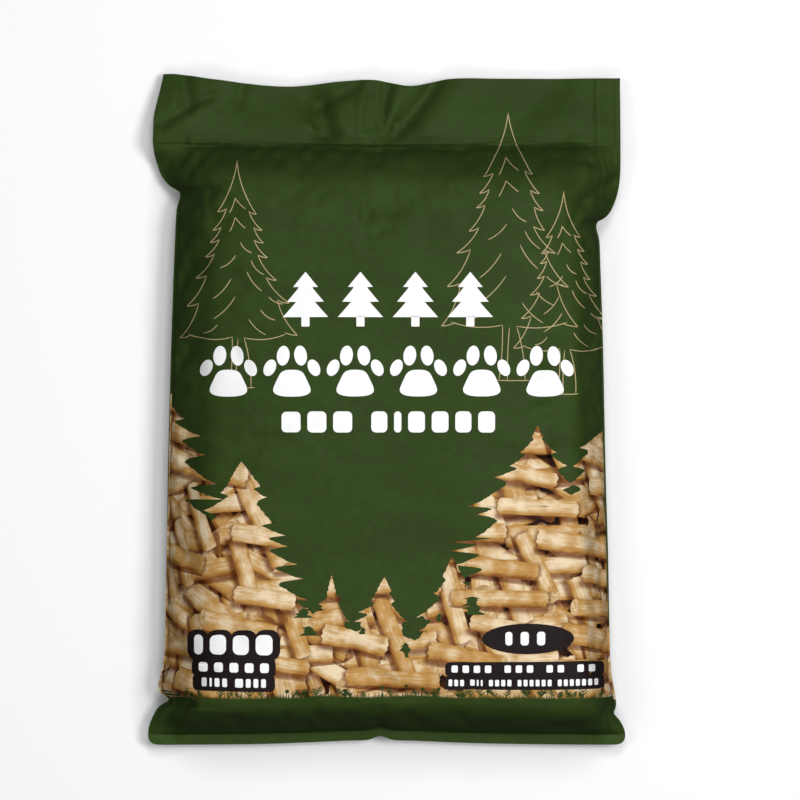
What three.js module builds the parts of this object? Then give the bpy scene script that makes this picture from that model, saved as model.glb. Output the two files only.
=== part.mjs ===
// A filled five-kilogram pillow bag of wood-pellet litter, lying on its back.
// One web of film is folded along the left edge and welded along the right, across the foot and
// across the head, below a loose header. Millimetres, +Z up, +Y towards the head, +X to the right.
// The origin is on the floor under the middle of the bag's box.
import * as THREE from "three";
import { ParametricGeometry } from "three/addons/geometries/ParametricGeometry.js";

// Driving dimensions
const LENGTH = 461.6; // foot edge to header edge
const FOOT_WELD = 7; // width of the weld strip across the foot
const HEADER = 51; // loose film beyond the head weld
const HEAD_WELD = LENGTH - HEADER;
const SHOULDER = 52; // run over which the seam comes to its height at the welds
const FOOT_RUN = 36; // run over which the foot edge's waves die out

const HEIGHT_AT_FOOT = 82; // height of the fill, which has settled towards the foot
const HEIGHT_AT_HEAD = 72;
const FILM = 0.6; // two plies of film with their weld, as one thickness
const SEAM_LIP = 1.5; // flat lip of film outside the fill along each side

// Half widths to each side of the bag's own middle line
const HALF_WIDTH_AT_FOOT = { left: 154, right: 152.5 };
const TAPER = 10; // narrowing of each side towards the head
const RIGHT_SLACK = 2;
const FOOT_BULGE = {
  left: { out: 4.5, at: 40, run: 14 },
  right: { out: 4, at: 27, run: 18 },
};
const HEADER_HALF_WIDTH = { left: 161.7, right: 158.2 };
const FOOT_HALF_WIDTH = { left: 165.3, right: 162 };
const HEADER_CORNER_DRAW = { left: 6.5, right: 0 };

// The flat ears of film beside the fill, by the station where each one starts
const HEAD_EAR_START = { left: 380.2, right: 358.8 };
const HEAD_EAR_RUN = 36;
const FOOT_EAR_START = { left: 33, right: 21.9 };
const FOOT_EAR_RUN = { left: 25.4, right: 15.3 };
const FOOT_CORNER_RADIUS = 6;
// How far the outline tucks in where an ear starts
const HEAD_EAR_NIP = 2;
const FOOT_EAR_NIP = { left: 5, right: 1 };

// Heights of the seam that joins the front and the back, above the floor
const SEAM_AT_FOOT = 14;
const SEAM_AT_FILL = 27;
const SEAM_AT_HEAD_WELD = 23;
const SEAM_AT_HEADER_EDGE = 15;

// Runs over which the fill rises from its edges on the front, and the form of its underside
const SIDE_BANK = { left: 25, right: 13 };
const FOOT_BANK = 20.5;
const HEAD_BANK = 22;
const UNDER_BANK = 2.2; // how much longer the runs are underneath
const DOME = 0.1;
const UNDERSIDE_PRESS = 12;

// Columns across each panel, and rows along the bag as [station, rows up to it]
const FILL_COLUMNS = 30;
const LIP_COLUMNS = 2;
const PANEL_COLUMNS = FILL_COLUMNS + 2 * LIP_COLUMNS;
const ROW_ZONES = [
  [FOOT_WELD, 2],
  [FOOT_WELD + 36, 10],
  [HEAD_EAR_START.right, 14],
  [HEAD_WELD, 16],
  [LENGTH, 5],
];
const ROWS = ROW_ZONES.reduce((sum, [, rows]) => sum + rows, 0);

const { clamp, lerp, smoothstep } = THREE.MathUtils;
const share = (value, start, run) => clamp((value - start) / run, 0, 1);
const bell = (value, middle, run) => Math.exp(-(((value - middle) / run) ** 2));

// The station, from the foot edge, of a share of the way through the rows.
function stationOf(v) {
  let row = v * ROWS;
  let start = 0;
  for (const [end, rows] of ROW_ZONES) {
    if (row <= rows) return lerp(start, end, row / rows);
    row -= rows;
    start = end;
  }
  return LENGTH;
}

// Half the width of the bag where it is filled.
function bodyHalfWidth(station, side) {
  return HALF_WIDTH_AT_FOOT[side] - TAPER * share(station, 0, HEAD_WELD);
}

// Half the width of the film's outline on one side: the fill with its lip, or the flat film of the
// header, the foot strip and the ears that round in from them to the fill.
function outlineHalfWidth(station, side) {
  const bulge = FOOT_BULGE[side];
  const slack = side === "right" ? RIGHT_SLACK * bell(station, 200, 130) : 0;
  const body =
    bodyHalfWidth(station, side) -
    slack +
    bulge.out * bell(station, bulge.at, bulge.run);
  const headStart = HEAD_EAR_START[side];
  const footStart = FOOT_EAR_START[side];
  const headShare = share(station, headStart, HEAD_EAR_RUN);
  const headEar = (1 - (1 - headShare) ** 2.2) ** 0.6;
  const footEar = Math.sin(
    (Math.PI / 2) * share(footStart - station, 0, FOOT_EAR_RUN[side]),
  );
  const cornerDepth = Math.max(FOOT_CORNER_RADIUS - station, 0);
  const corner =
    FOOT_CORNER_RADIUS -
    Math.sqrt(FOOT_CORNER_RADIUS ** 2 - cornerDepth ** 2);
  const nip =
    HEAD_EAR_NIP * bell(station, headStart - 4, 6) +
    FOOT_EAR_NIP[side] * bell(station, footStart, 3.4);
  return (
    body +
    (HEADER_HALF_WIDTH[side] - body) * headEar +
    (FOOT_HALF_WIDTH[side] - body) * footEar -
    corner -
    nip -
    HEADER_CORNER_DRAW[side] * smoothstep(station, LENGTH - 35.6, LENGTH + 4.4)
  );
}

// How far the header's cut edge dips below its full length, in soft waves.
function headerDip(x) {
  const hollows = 5.3 * (bell(x, -72, 38) + bell(x, 14, 17));
  return 4.4 + hollows - 3.7 * bell(x, -150, 20);
}

// How far the foot edge lifts towards the fill, with one kink left of the middle.
function footLift(x) {
  return 4 * bell(x, -6, 60) + 3 * bell(x, -6, 6);
}

// Height of the mid-surface between the two plies: the seam's height, with the header's folds and
// the foot strip's kink.
function seamHeight(x, station) {
  const toFill = smoothstep(station, 0, 12 + SHOULDER);
  const toWeld = smoothstep(station, HEAD_WELD - 2 * SHOULDER, HEAD_WELD);
  const toEdge = smoothstep(station, HEAD_WELD, LENGTH);
  const folds = 2 * Math.sin((x + 30) / 24) * toEdge;
  const kink = 4 * bell(x, -6, 18) * (1 - smoothstep(station, FOOT_WELD, FOOT_RUN));
  return (
    SEAM_AT_FOOT +
    (SEAM_AT_FILL - SEAM_AT_FOOT) * toFill +
    (SEAM_AT_HEAD_WELD - SEAM_AT_FILL) * toWeld +
    (SEAM_AT_HEADER_EDGE - SEAM_AT_HEAD_WELD) * toEdge +
    folds +
    kink
  );
}

// How high a bank of fill stands at a distance from its edge: upright at the edge, then straight,
// then level, from 0 to 1.
function bank(distance, run) {
  const d = Math.max(distance, 0) / run;
  const rise = Math.sqrt(d * (d + 0.12));
  return rise / (1 + rise ** 5) ** 0.2;
}

// A point of the closed surface. The first half of u crosses the front from left to right, and the
// second half crosses the back from right to left; v runs from the foot edge to the header edge.
function bagSurface(u, v, target) {
  const station = stationOf(v);
  const isFront = u <= 0.5;
  const across = isFront ? 4 * u - 1 : 3 - 4 * u;
  const side = across < 0 ? "left" : "right";
  const outline = outlineHalfWidth(station, side);
  const fill = outline - SEAM_LIP;

  // Columns crowd towards the flank, then cross the flat lip.
  const column = (Math.abs(across) * PANEL_COLUMNS) / 2;
  const fillShare = clamp(column / (FILL_COLUMNS / 2), 0, 1);
  const lipShare = clamp((column - FILL_COLUMNS / 2) / LIP_COLUMNS, 0, 1);
  const acrossShare = Math.sin((Math.PI / 2) * fillShare);
  const x = Math.sign(across) * (fill * acrossShare + SEAM_LIP * lipShare);

  // The fill stands on banks at the foot weld, at the head weld and along the flank.
  const wide = isFront ? 1 : UNDER_BANK;
  const ear = Math.max(outline - bodyHalfWidth(station, side), 0);
  const full =
    bank(station - FOOT_WELD, FOOT_BANK * wide) *
    bank(HEAD_WELD - station, HEAD_BANK * wide) *
    bank(fill * (1 - acrossShare), SIDE_BANK[side] * wide + 1.4 * ear);

  const seam = seamHeight(x, station);
  const atEdge = lipShare === 1 || station === 0 || station === LENGTH;
  const halfFilm = atEdge ? 0 : FILM / 2;
  const top = lerp(HEIGHT_AT_FOOT, HEIGHT_AT_HEAD, station / LENGTH);
  const level = top * (1 - DOME * acrossShare ** 3) - seam;
  const z = isFront
    ? seam + halfFilm + level * full
    : Math.max(seam - halfFilm - (seam + UNDERSIDE_PRESS) * full, 0);

  const y =
    station -
    LENGTH / 2 +
    footLift(x) * (1 - smoothstep(station, 0, FOOT_RUN)) -
    headerDip(x) * smoothstep(station, HEAD_WELD, LENGTH);
  target.set(x, y, z);
}

function litterBag() {
  const film = new THREE.MeshStandardMaterial({
    color: 0x37482a,
    roughness: 0.5,
    metalness: 0,
  });
  const geometry = new ParametricGeometry(bagSurface, 2 * PANEL_COLUMNS, ROWS);
  geometry.computeBoundingBox();
  const middle = geometry.boundingBox.getCenter(new THREE.Vector3());
  const bag = new THREE.Mesh(geometry, film);
  bag.name = "litter_bag";
  bag.position.set(-middle.x, -middle.y, 0);
  return bag;
}

const part = new THREE.Group();
part.add(litterBag());

export default part;
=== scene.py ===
"""Looks of a filled pillow bag of wood-pellet cat litter, lying on its back with its front up.

The film is one closed surface worked out from the bag's sections, settled by a short cloth
simulation and finished with the folds of the header and the marks of the welds. The print is a
set of thin layers of ink that lie on the film's front. Sizes are in millimetres in the film's own
terms: s runs across the front from the middle, t runs up it from the foot edge. Meshes are in
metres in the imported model's frame.
"""

import logging
import math
from collections.abc import Sequence
from dataclasses import dataclass, field
from enum import Enum

import bmesh
import bpy
import numpy as np
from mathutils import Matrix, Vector


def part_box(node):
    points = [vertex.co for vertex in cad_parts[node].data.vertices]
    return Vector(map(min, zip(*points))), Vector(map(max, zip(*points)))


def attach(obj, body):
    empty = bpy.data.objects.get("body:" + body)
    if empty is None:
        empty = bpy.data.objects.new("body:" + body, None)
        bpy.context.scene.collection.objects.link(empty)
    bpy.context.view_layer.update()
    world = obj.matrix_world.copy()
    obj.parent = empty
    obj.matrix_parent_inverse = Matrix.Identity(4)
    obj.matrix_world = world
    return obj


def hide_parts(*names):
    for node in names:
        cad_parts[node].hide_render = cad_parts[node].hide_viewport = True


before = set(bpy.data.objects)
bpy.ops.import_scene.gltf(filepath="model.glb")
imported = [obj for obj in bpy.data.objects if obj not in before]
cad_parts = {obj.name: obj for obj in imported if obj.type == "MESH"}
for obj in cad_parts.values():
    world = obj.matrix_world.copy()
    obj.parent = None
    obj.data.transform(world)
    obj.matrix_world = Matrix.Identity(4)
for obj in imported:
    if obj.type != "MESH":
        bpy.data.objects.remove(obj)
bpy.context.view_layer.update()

Array = np.ndarray
Place = tuple[float, float]
Colour = tuple[float, float, float, float]
Value = float | tuple[float, ...] | bpy.types.NodeSocket
Sockets = bpy.types.NodeInputs | bpy.types.NodeOutputs

MM = 0.001
BODY = "root"
NODE = "litter_bag"

log = logging.getLogger("litter_bag")


class Side(Enum):
    """The two long sides of the bag, by the sign of s."""

    LEFT = -1
    RIGHT = 1


class Panel(Enum):
    """The two plies of film."""

    FRONT = "front"
    BACK = "back"


# ---------------------------------------------------------------------------------------------
# Small formulas on whole arrays
# ---------------------------------------------------------------------------------------------


def share(value: Array, start: float | Array, run: float) -> Array:
    """How far value is through a run that begins at start, held between 0 and 1."""
    return np.clip((value - start) / run, 0.0, 1.0)


def eased(value: Array, start: float, end: float) -> Array:
    """A smooth step from 0 at start to 1 at end: three squares less two cubes of the share."""
    part = np.clip((value - start) / (end - start), 0.0, 1.0)
    return part * part * (3 - 2 * part)


def bell(value: Array, middle: float, width: float) -> Array:
    """A bell curve of height 1 about middle: e to the minus square of the distance in widths."""
    return np.exp(-(((value - middle) / width) ** 2))


def spaced(zones: Sequence[tuple[float, float]], start: float) -> Array:
    """Knots from start through zones of their own spacing.

    Args:
        zones: Pairs of a zone's end and the spacing of the knots in it.
        start: Where the first zone begins.

    Returns:
        The knots in rising order, each once.
    """
    runs = []
    for end, step in zones:
        count = max(1, round((end - start) / step))
        runs.append(np.linspace(start, end, count, endpoint=False))
        start = end
    return np.concatenate([*runs, [start]])


def blend_weights(knots: Array, places: Array) -> Array:
    """The matrix that carries values on even knots to other places with a smooth curve.

    Each place takes a share of its four nearest knots by the Catmull-Rom cubic, and past the ends
    the end knot stands in.

    Args:
        knots: Evenly spaced places where values are known.
        places: Places where values are wanted.

    Returns:
        An array of shape (places, knots) whose rows add up to 1.
    """
    index = np.interp(places, knots, np.arange(len(knots)))
    first = np.minimum(index.astype(int), len(knots) - 2)
    f = index - first
    cubics = (
        (-f + 2 * f**2 - f**3) / 2,
        (2 - 5 * f**2 + 3 * f**3) / 2,
        (f + 4 * f**2 - 3 * f**3) / 2,
        (-(f**2) + f**3) / 2,
    )
    weights = np.zeros((len(places), len(knots)))
    for offset, cubic in enumerate(cubics, start=-1):
        nearest = np.clip(first + offset, 0, len(knots) - 1)
        np.add.at(weights, (np.arange(len(places)), nearest), cubic)
    return weights


def read_grid(grid: Array, columns: Array, rows: Array, s: Array, t: Array) -> Array:
    """A two-way average of the four nearest entries of a grid.

    Args:
        grid: Numbers or vectors, of shape (rows, columns) or (rows, columns, 3).
        columns: The grid's knots across, in rising order.
        rows: Its knots along.
        s: Places across.
        t: Places along.

    Returns:
        The averages, one for each place.
    """
    i = np.interp(s, columns, np.arange(len(columns)))
    j = np.interp(t, rows, np.arange(len(rows)))
    i0 = np.minimum(i.astype(int), len(columns) - 2)
    j0 = np.minimum(j.astype(int), len(rows) - 2)
    per_entry = (1,) * (grid.ndim - 2)
    fi = (i - i0).reshape(i.shape + per_entry)
    fj = (j - j0).reshape(j.shape + per_entry)
    low = grid[j0, i0] * (1 - fi) + grid[j0, i0 + 1] * fi
    high = grid[j0 + 1, i0] * (1 - fi) + grid[j0 + 1, i0 + 1] * fi
    return low * (1 - fj) + high * fj


def blur_weights(count: int, spread: float) -> Array:
    """The matrix that averages count even knots with a bell of the given spread, in knots."""
    index = np.arange(count)
    bells = np.exp(-(((index[:, None] - index) / spread) ** 2))
    return bells / bells.sum(axis=1, keepdims=True)


# ---------------------------------------------------------------------------------------------
# The film
# ---------------------------------------------------------------------------------------------


@dataclass(frozen=True)
class BagForm:
    """The bag's sections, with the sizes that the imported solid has, in millimetres.

    A pair of sizes is for the left side and the right. A bulge is how far it stands out, its
    station and its run. A station is a distance from the foot edge.
    """

    length: float = 461.6
    foot_weld: float = 7.0
    header: float = 51.0
    shoulder: float = 52.0
    height_at_foot: float = 82.0
    height_at_head: float = 72.0
    film: float = 0.6
    seam_lip: float = 1.5
    half_widths_at_foot: tuple[float, float] = (154.0, 152.5)
    taper: float = 10.0
    slack: tuple[float, float] = (0.0, 2.0)
    slack_bell: tuple[float, float] = (200.0, 130.0)
    foot_bulges: tuple[tuple[float, float, float], ...] = ((4.5, 40.0, 14.0), (4.0, 27.0, 18.0))
    header_half_widths: tuple[float, float] = (161.7, 158.2)
    header_draw: float = 6.5
    header_draw_span: tuple[float, float] = (426.0, 466.0)
    foot_half_widths: tuple[float, float] = (165.3, 162.0)
    foot_run: float = 36.0
    head_ear_starts: tuple[float, float] = (380.2, 358.8)
    head_ear_run: float = 36.0
    foot_ear_starts: tuple[float, float] = (31.6, 21.9)
    foot_ear_runs: tuple[float, float] = (24.0, 15.3)
    foot_corner_radius: float = 6.0
    ear_powers: tuple[float, float] = (2.2, 0.6)
    head_nip: float = 2.0
    foot_nips: tuple[float, float] = (7.0, 1.5)
    foot_nip_run: float = 3.4
    seam_at_foot: float = 14.0
    seam_at_fill: float = 27.0
    seam_at_head_weld: float = 23.0
    seam_at_header_edge: float = 15.0
    side_banks: tuple[float, float] = (25.0, 13.0)
    foot_bank: float = 20.5
    head_bank: float = 22.0
    under_bank: float = 2.2
    dome: float = 0.1
    underside_press: float = 12.0
    fill_share: float = 13 / 16

    @property
    def head_weld(self) -> float:
        """The station of the head weld."""
        return self.length - self.header

    def body_half_width(self, t: Array, left: Array) -> Array:
        """Half the width of the bag where it is filled: it tapers evenly to the head."""
        taper = self.taper * share(t, 0, self.head_weld)
        return np.where(left, *self.half_widths_at_foot) - taper

    def outline_half_width(self, t: Array, side: Array) -> Array:
        """Half the width of the film's outline.

        The ears widen from the fill to the header by a root of one less a power of the share left,
        and to the foot strip as a quarter sine does. Over the foot the fill bulges by a bell on each
        side. The foot's corners are cut back by a small radius, and the header draws in a little
        towards its left corner.

        Args:
            t: Stations.
            side: -1 where the point is on the left and 1 where it is on the right.

        Returns:
            The half widths.
        """
        left = side < 0
        slack = np.where(left, *self.slack) * bell(t, *self.slack_bell)
        bulge = np.where(left, *(out * bell(t, at, run) for out, at, run in self.foot_bulges))
        body = self.body_half_width(t, left) - slack + bulge
        head_start = np.where(left, *self.head_ear_starts)
        first, second = self.ear_powers
        head = (1 - (1 - share(t, head_start, self.head_ear_run)) ** first) ** second
        foot_start = np.where(left, *self.foot_ear_starts)
        foot = np.clip((foot_start - t) / np.where(left, *self.foot_ear_runs), 0, 1)
        corner_depth = np.maximum(self.foot_corner_radius - t, 0)
        corner = self.foot_corner_radius - np.sqrt(self.foot_corner_radius**2 - corner_depth**2)
        nip = self.head_nip * bell(t, head_start - 4, 6)
        nip = nip + np.where(left, *self.foot_nips) * bell(t, foot_start, self.foot_nip_run)
        drawn_in = self.header_draw * eased(t, *self.header_draw_span) * left
        return (
            body
            + (np.where(left, *self.header_half_widths) - body) * head
            + (np.where(left, *self.foot_half_widths) - body) * np.sin(math.pi / 2 * foot)
            - corner
            - nip
            - drawn_in
        )

    @staticmethod
    def bank(distance: Array, run: Array | float) -> Array:
        """How high a bank of fill stands at a distance from its edge, as a share of its height.

        It is upright at the edge, climbs straight over the run, then bends over to level: the
        root u of d (d + 0.12), divided by the fifth root of one more than its fifth power, where
        d is the distance in runs.
        """
        d = np.maximum(distance, 0) / run
        u = np.sqrt(d * (d + 0.12))
        return u / (1 + u**5) ** 0.2

    def seam_height(self, x: Array, t: Array) -> Array:
        """Height of the mid-surface between the plies: smooth steps between the seam's heights.

        Args:
            x: Distances from the middle line.
            t: Stations.

        Returns:
            The heights over the floor.
        """
        fill_end = 12 + self.shoulder
        kink = 4 * bell(x, -6, 18) * (1 - eased(t, self.foot_weld, self.foot_run))
        to_edge = eased(t, self.head_weld, self.length)
        return (
            self.seam_at_foot
            + (self.seam_at_fill - self.seam_at_foot) * eased(t, 0, fill_end)
            + (self.seam_at_head_weld - self.seam_at_fill)
            * eased(t, self.head_weld - 2 * self.shoulder, self.head_weld)
            + (self.seam_at_header_edge - self.seam_at_head_weld) * to_edge
            + 2 * np.sin((x + 30) / 24) * to_edge
            + kink
        )

    def northing(self, x: Array, t: Array) -> Array:
        """The place along the bag: the station, with the foot's lift and the header's waves."""
        lift = 4 * bell(x, -6, 60) + 3 * bell(x, -6, 6)
        dip = 4.4 + 5.3 * (bell(x, -72, 38) + bell(x, 14, 17)) - 3.7 * bell(x, -150, 20)
        in_header = eased(t, self.head_weld, self.length)
        return t + lift * (1 - eased(t, 0, self.foot_run)) - dip * in_header

    def surface(self, panel: Panel, q: Array, t: Array) -> tuple[Array, Array]:
        """A ply of the bag as a function of two parameters.

        Across the fill the width follows a quarter sine, so that points crowd at the flanks. The
        height is the product of the banks at the foot, the head and the flank, and of a low dome.
        Past the fill the film is flat.

        Args:
            panel: Which ply.
            q: From -1 at the left edge to 1 at the right.
            t: Station.

        Returns:
            The points, with a last axis of three, and how full the bag is there, from 0 to 1.
        """
        outline = self.outline_half_width(t, q)
        fill = outline - self.seam_lip
        across = np.sin(math.pi / 2 * np.clip(np.abs(q) / self.fill_share, 0, 1))
        lip = np.clip((np.abs(q) - self.fill_share) / (1 - self.fill_share), 0, 1)
        x = np.sign(q) * (fill * across + self.seam_lip * lip)
        wide = 1.0 if panel is Panel.FRONT else self.under_bank
        ear = np.maximum(outline - self.body_half_width(t, q < 0), 0)
        flank_run = np.where(q < 0, *self.side_banks) * wide + 1.4 * ear
        full = (
            self.bank(t - self.foot_weld, self.foot_bank * wide)
            * self.bank(self.head_weld - t, self.head_bank * wide)
            * self.bank(fill * (1 - across), flank_run)
        )
        seam = self.seam_height(x, t)
        top = self.height_at_foot + (self.height_at_head - self.height_at_foot) * t / self.length
        inner = (np.abs(q) < 1) & (t > 0) & (t < self.length)
        half_film = np.where(inner, self.film / 2, 0)
        if panel is Panel.FRONT:
            level = top * (1 - self.dome * across**3) - seam
            z = seam + half_film + level * full
        else:
            z = np.maximum(seam - half_film - (seam + self.underside_press) * full, 0)
        return np.stack([x, self.northing(x, t), z], axis=-1), full


@dataclass(frozen=True)
class Fold:
    """A soft ridge or valley of film along a straight line, in film millimetres.

    Its section is a bell of the width given, and its height fades out towards both ends.
    """

    start: Place
    end: Place
    width: float
    height: float

    def relief(self, s: Array, t: Array) -> Array:
        """The fold's height over the film: a bell of the distance to its line.

        Args:
            s: Places across the film.
            t: Stations.

        Returns:
            The heights over the film.
        """
        along = np.subtract(self.end, self.start)
        length = float(np.hypot(*along))
        unit = along / max(length, 1e-6)
        u = (s - self.start[0]) * unit[0] + (t - self.start[1]) * unit[1]
        v = (t - self.start[1]) * unit[0] - (s - self.start[0]) * unit[1]
        past = np.maximum(np.maximum(-u, u - length), 0)
        return self.height * np.exp(-((v / self.width) ** 2) - (past / (1.6 * self.width)) ** 2)


HEADER_FOLDS = (
    Fold((-153, 466), (-144, 444), 6.0, -4.5),
    Fold((-128, 448), (-160, 426), 4.5, -3.9),
    Fold((-118, 462), (-140, 432), 7.0, 2.0),
    Fold((-102, 458), (-104, 448), 4.5, -2.4),
    Fold((-63, 456), (-60, 446), 8.0, -2.7),
    Fold((-24, 458), (-46, 446), 7.0, -4.5),
    Fold((-49, 447), (-44, 420), 8.0, -7.5),
    Fold((-55, 427), (-51, 423), 2.6, 1.8),
    Fold((-36, 440), (-30, 421), 6.0, 2.2),
    Fold((-18, 458), (-20, 420), 4.0, 1.5),
    Fold((-12, 452), (-15, 424), 3.2, -1.8),
    Fold((-2, 458), (-6, 426), 4.0, -4.2),
    Fold((8, 458), (-2, 424), 5.0, 2.2),
    Fold((30, 460), (4, 420), 6.5, -6.3),
    Fold((56, 462), (26, 422), 10.0, 2.8),
    Fold((120, 464), (86, 426), 14.0, -3.0),
)

SHOULDER_FOLDS = (
    Fold((-138, 414), (-136, 405), 2.6, 2.2),
    Fold((-8, 412), (-9, 405), 2.4, 1.6),
    Fold((-19, 397), (-17, 346), 4.0, -1.1),
    Fold((-9, 399), (-8, 360), 3.4, 0.7),
    Fold((3, 400), (1, 352), 4.5, -1.0),
    Fold((21, 397), (24, 344), 4.5, -1.1),
    Fold((40, 398), (43, 362), 5.0, 0.6),
    Fold((57, 400), (53, 356), 5.5, -0.9),
    Fold((-62, 400), (-66, 352), 6.0, -0.8),
    Fold((-92, 398), (-90, 366), 5.0, -0.6),
    Fold((122, 402), (121, 394), 8.0, -6.5),
    Fold((132, 372), (158, 387), 4.6, -4.4),
    Fold((128, 368), (120, 352), 4.0, -1.4),
    Fold((-128, 392), (-118, 352), 5.0, -1.4),
)

FOOT_FOLDS = (
    Fold((-142, 9), (-124, 31), 3.2, 3.0),
    Fold((-152, 16), (-146, 30), 4.0, -2.4),
    Fold((146, 10), (132, 28), 3.6, 2.4),
    Fold((154, 18), (150, 28), 3.0, -1.6),
    Fold((-46, 14), (-50, 30), 4.0, -0.9),
    Fold((38, 14), (42, 32), 4.5, -0.9),
)


@dataclass
class Film:
    """The bag's film: a fine grid on each ply, joined all round into one closed surface."""

    form: BagForm = field(default_factory=BagForm)
    flat_half: float = 166.0
    print_start: float = -1.4
    steady_half: float = 92.0
    back_stride: int = 3
    seal_lines: tuple[float, float] = (3.6, 0.9)
    seal_depth: float = 0.28
    ribs_from_edge: tuple[float, ...] = (19.5, 13.2, 10.5, 7.8, 5.4)
    rib_depth: float = 0.75
    settle_cell: float = 7.0
    settle_frames: int = 22
    settle_cap: float = 3.2
    columns: Array = field(init=False)
    rows: Array = field(init=False)
    points: Array = field(init=False)
    normals: Array = field(init=False)
    runs: Array = field(init=False)
    plan: Array = field(init=False)
    plan_place: Array = field(init=False)
    plan_height: Array = field(init=False)
    plan_start: float = field(init=False)

    def __post_init__(self) -> None:
        """Sets the knots of the grid, closer together at the welds."""
        weld = 24.0
        half = self.flat_half
        self.columns = spaced([(half - weld, 1.72), (half, 0.8)], -half)
        spare = (len(self.columns) - 1) % self.back_stride
        if spare:
            self.columns = np.delete(self.columns, np.arange(2, 2 + 2 * spare, 2))
        self.rows = spaced([(14, 1.0), (396, 1.85), (424, 0.8), (self.form.length, 1.5)], 0.0)

    # The grid of a ply

    def across(self, panel: Panel, columns: Array, rows: Array) -> Array:
        """The section parameter at each knot, so that the film lies along the section unstretched.

        Near the middle a knot lies its own distance along the section from the middle line. What
        the section is longer or shorter than the flat film is taken up near the edges.

        Args:
            panel: Which ply.
            columns: Knots across the flat film.
            rows: Stations.

        Returns:
            The parameter q, of shape (rows, columns).
        """
        dense = np.linspace(0, 1, 400)
        found = np.empty((len(rows), len(columns)))
        take_up = eased(np.abs(columns), self.steady_half, self.flat_half)
        for side in Side:
            chosen = columns < 0 if side is Side.LEFT else columns >= 0
            q, t = np.meshgrid(side.value * dense, rows)
            q[:, 0] = side.value * 1e-9
            points, _ = self.form.surface(panel, q, t)
            steps = np.hypot(np.diff(points[..., 0], axis=1), np.diff(points[..., 2], axis=1))
            arcs = np.concatenate([np.zeros((len(rows), 1)), np.cumsum(steps, axis=1)], axis=1)
            spare = arcs[:, -1:] - self.flat_half
            wanted = np.abs(columns[chosen]) + spare * take_up[chosen]
            found[:, chosen] = side.value * np.stack(
                [np.interp(w, a, dense) for w, a in zip(wanted, arcs)]
            )
        return found

    def ply(self, panel: Panel, columns: Array, rows: Array) -> tuple[Array, Array]:
        """The points of a ply on a grid of knots, and how full the bag is at each."""
        q = self.across(panel, columns, rows)
        t = np.broadcast_to(rows[:, None], q.shape)
        return self.form.surface(panel, q, t)

    # The settling of the film

    def settle(self) -> tuple[Array, Array, dict[Panel, Array]]:
        """Lets the film pucker between its welds in a short cloth simulation.

        A coarse copy of the bag, cut 2% too large, is blown up from inside while its header, foot
        strip and flat edges are held. What is kept of it is the puckers alone: each point's move,
        less the broad average of its neighbours' moves, capped.

        Returns:
            The coarse knots across and along, and each ply's moves on them.
        """
        half = self.flat_half
        columns = np.linspace(-half, half, 2 * round(half / self.settle_cell) + 1)
        rows = np.linspace(0, self.form.length, round(self.form.length / self.settle_cell) + 1)
        plies = {panel: self.ply(panel, columns, rows) for panel in Panel}
        shape = plies[Panel.FRONT][0].shape[:2]
        number = np.arange(shape[0] * shape[1]).reshape(shape)
        back_number = number + number.size
        for edge in (np.s_[0, :], np.s_[-1, :], np.s_[:, 0], np.s_[:, -1]):
            back_number[edge] = number[edge]
        corners = [quads(number), quads(back_number)[:, ::-1]]
        vertices = np.concatenate([plies[p][0].reshape(-1, 3) for p in Panel]) * MM
        mesh = bpy.data.meshes.new("settling_film")
        mesh.from_pydata(vertices.tolist(), [], np.concatenate(corners).tolist())
        bag = bpy.data.objects.new("settling_film", mesh)
        bpy.context.scene.collection.objects.link(bag)
        held = bag.vertex_groups.new(name="held")
        full = np.concatenate([plies[p][1].reshape(-1) for p in Panel])
        held.add(np.flatnonzero(full < 0.12).tolist(), 1.0, "REPLACE")
        self._blow_up(bag)
        moved = self._read(bag) / MM - vertices / MM
        bpy.data.objects.remove(bag)
        moves = {}
        for k, panel in enumerate(Panel):
            index = (number, back_number)[k]
            move = moved[index] * np.minimum(1, plies[panel][1] / 0.3)[..., None]
            broad = np.einsum(
                "ab,bcd,ec->aed", blur_weights(shape[0], 5), move, blur_weights(shape[1], 5)
            )
            pucker = move - broad
            size = np.linalg.norm(pucker, axis=-1, keepdims=True)
            cap = self.settle_cap
            moves[panel] = pucker * cap * np.tanh(size / cap) / np.maximum(size, 1e-9)
        return columns, rows, moves

    def _blow_up(self, bag: bpy.types.Object) -> None:
        """Runs the cloth simulation on the coarse bag."""
        cloth = bag.modifiers.new("settle", "CLOTH")
        cloth.point_cache.frame_end = self.settle_frames
        cloth.settings.quality = 6
        cloth.settings.mass = 0.2
        cloth.settings.tension_stiffness = 25
        cloth.settings.compression_stiffness = 25
        cloth.settings.shear_stiffness = 8
        cloth.settings.bending_stiffness = 0.3
        cloth.settings.air_damping = 2
        cloth.settings.use_pressure = True
        cloth.settings.uniform_pressure_force = 3
        cloth.settings.shrink_min = -0.02
        cloth.settings.vertex_group_mass = "held"
        cloth.settings.effector_weights.gravity = 0
        for number in range(1, self.settle_frames + 1):
            bpy.context.scene.frame_set(number)

    @staticmethod
    def _read(bag: bpy.types.Object) -> Array:
        """The simulated points of the coarse bag, in metres.

        Args:
            bag: The bag with its cloth simulation at the last frame.

        Returns:
            An array of shape (points, 3).
        """
        depsgraph = bpy.context.evaluated_depsgraph_get()
        shown = bag.evaluated_get(depsgraph).to_mesh()
        flat = np.empty(len(shown.vertices) * 3)
        shown.vertices.foreach_get("co", flat)
        bpy.context.scene.frame_set(1)
        return flat.reshape(-1, 3)

    # The marks on the film

    def seal_station(self, s: Array) -> Array:
        """The station of the head seal, which sags softly in the middle."""
        return self.form.head_weld + 4.6 - 4.6 * bell(s, -4, 95)

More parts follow.
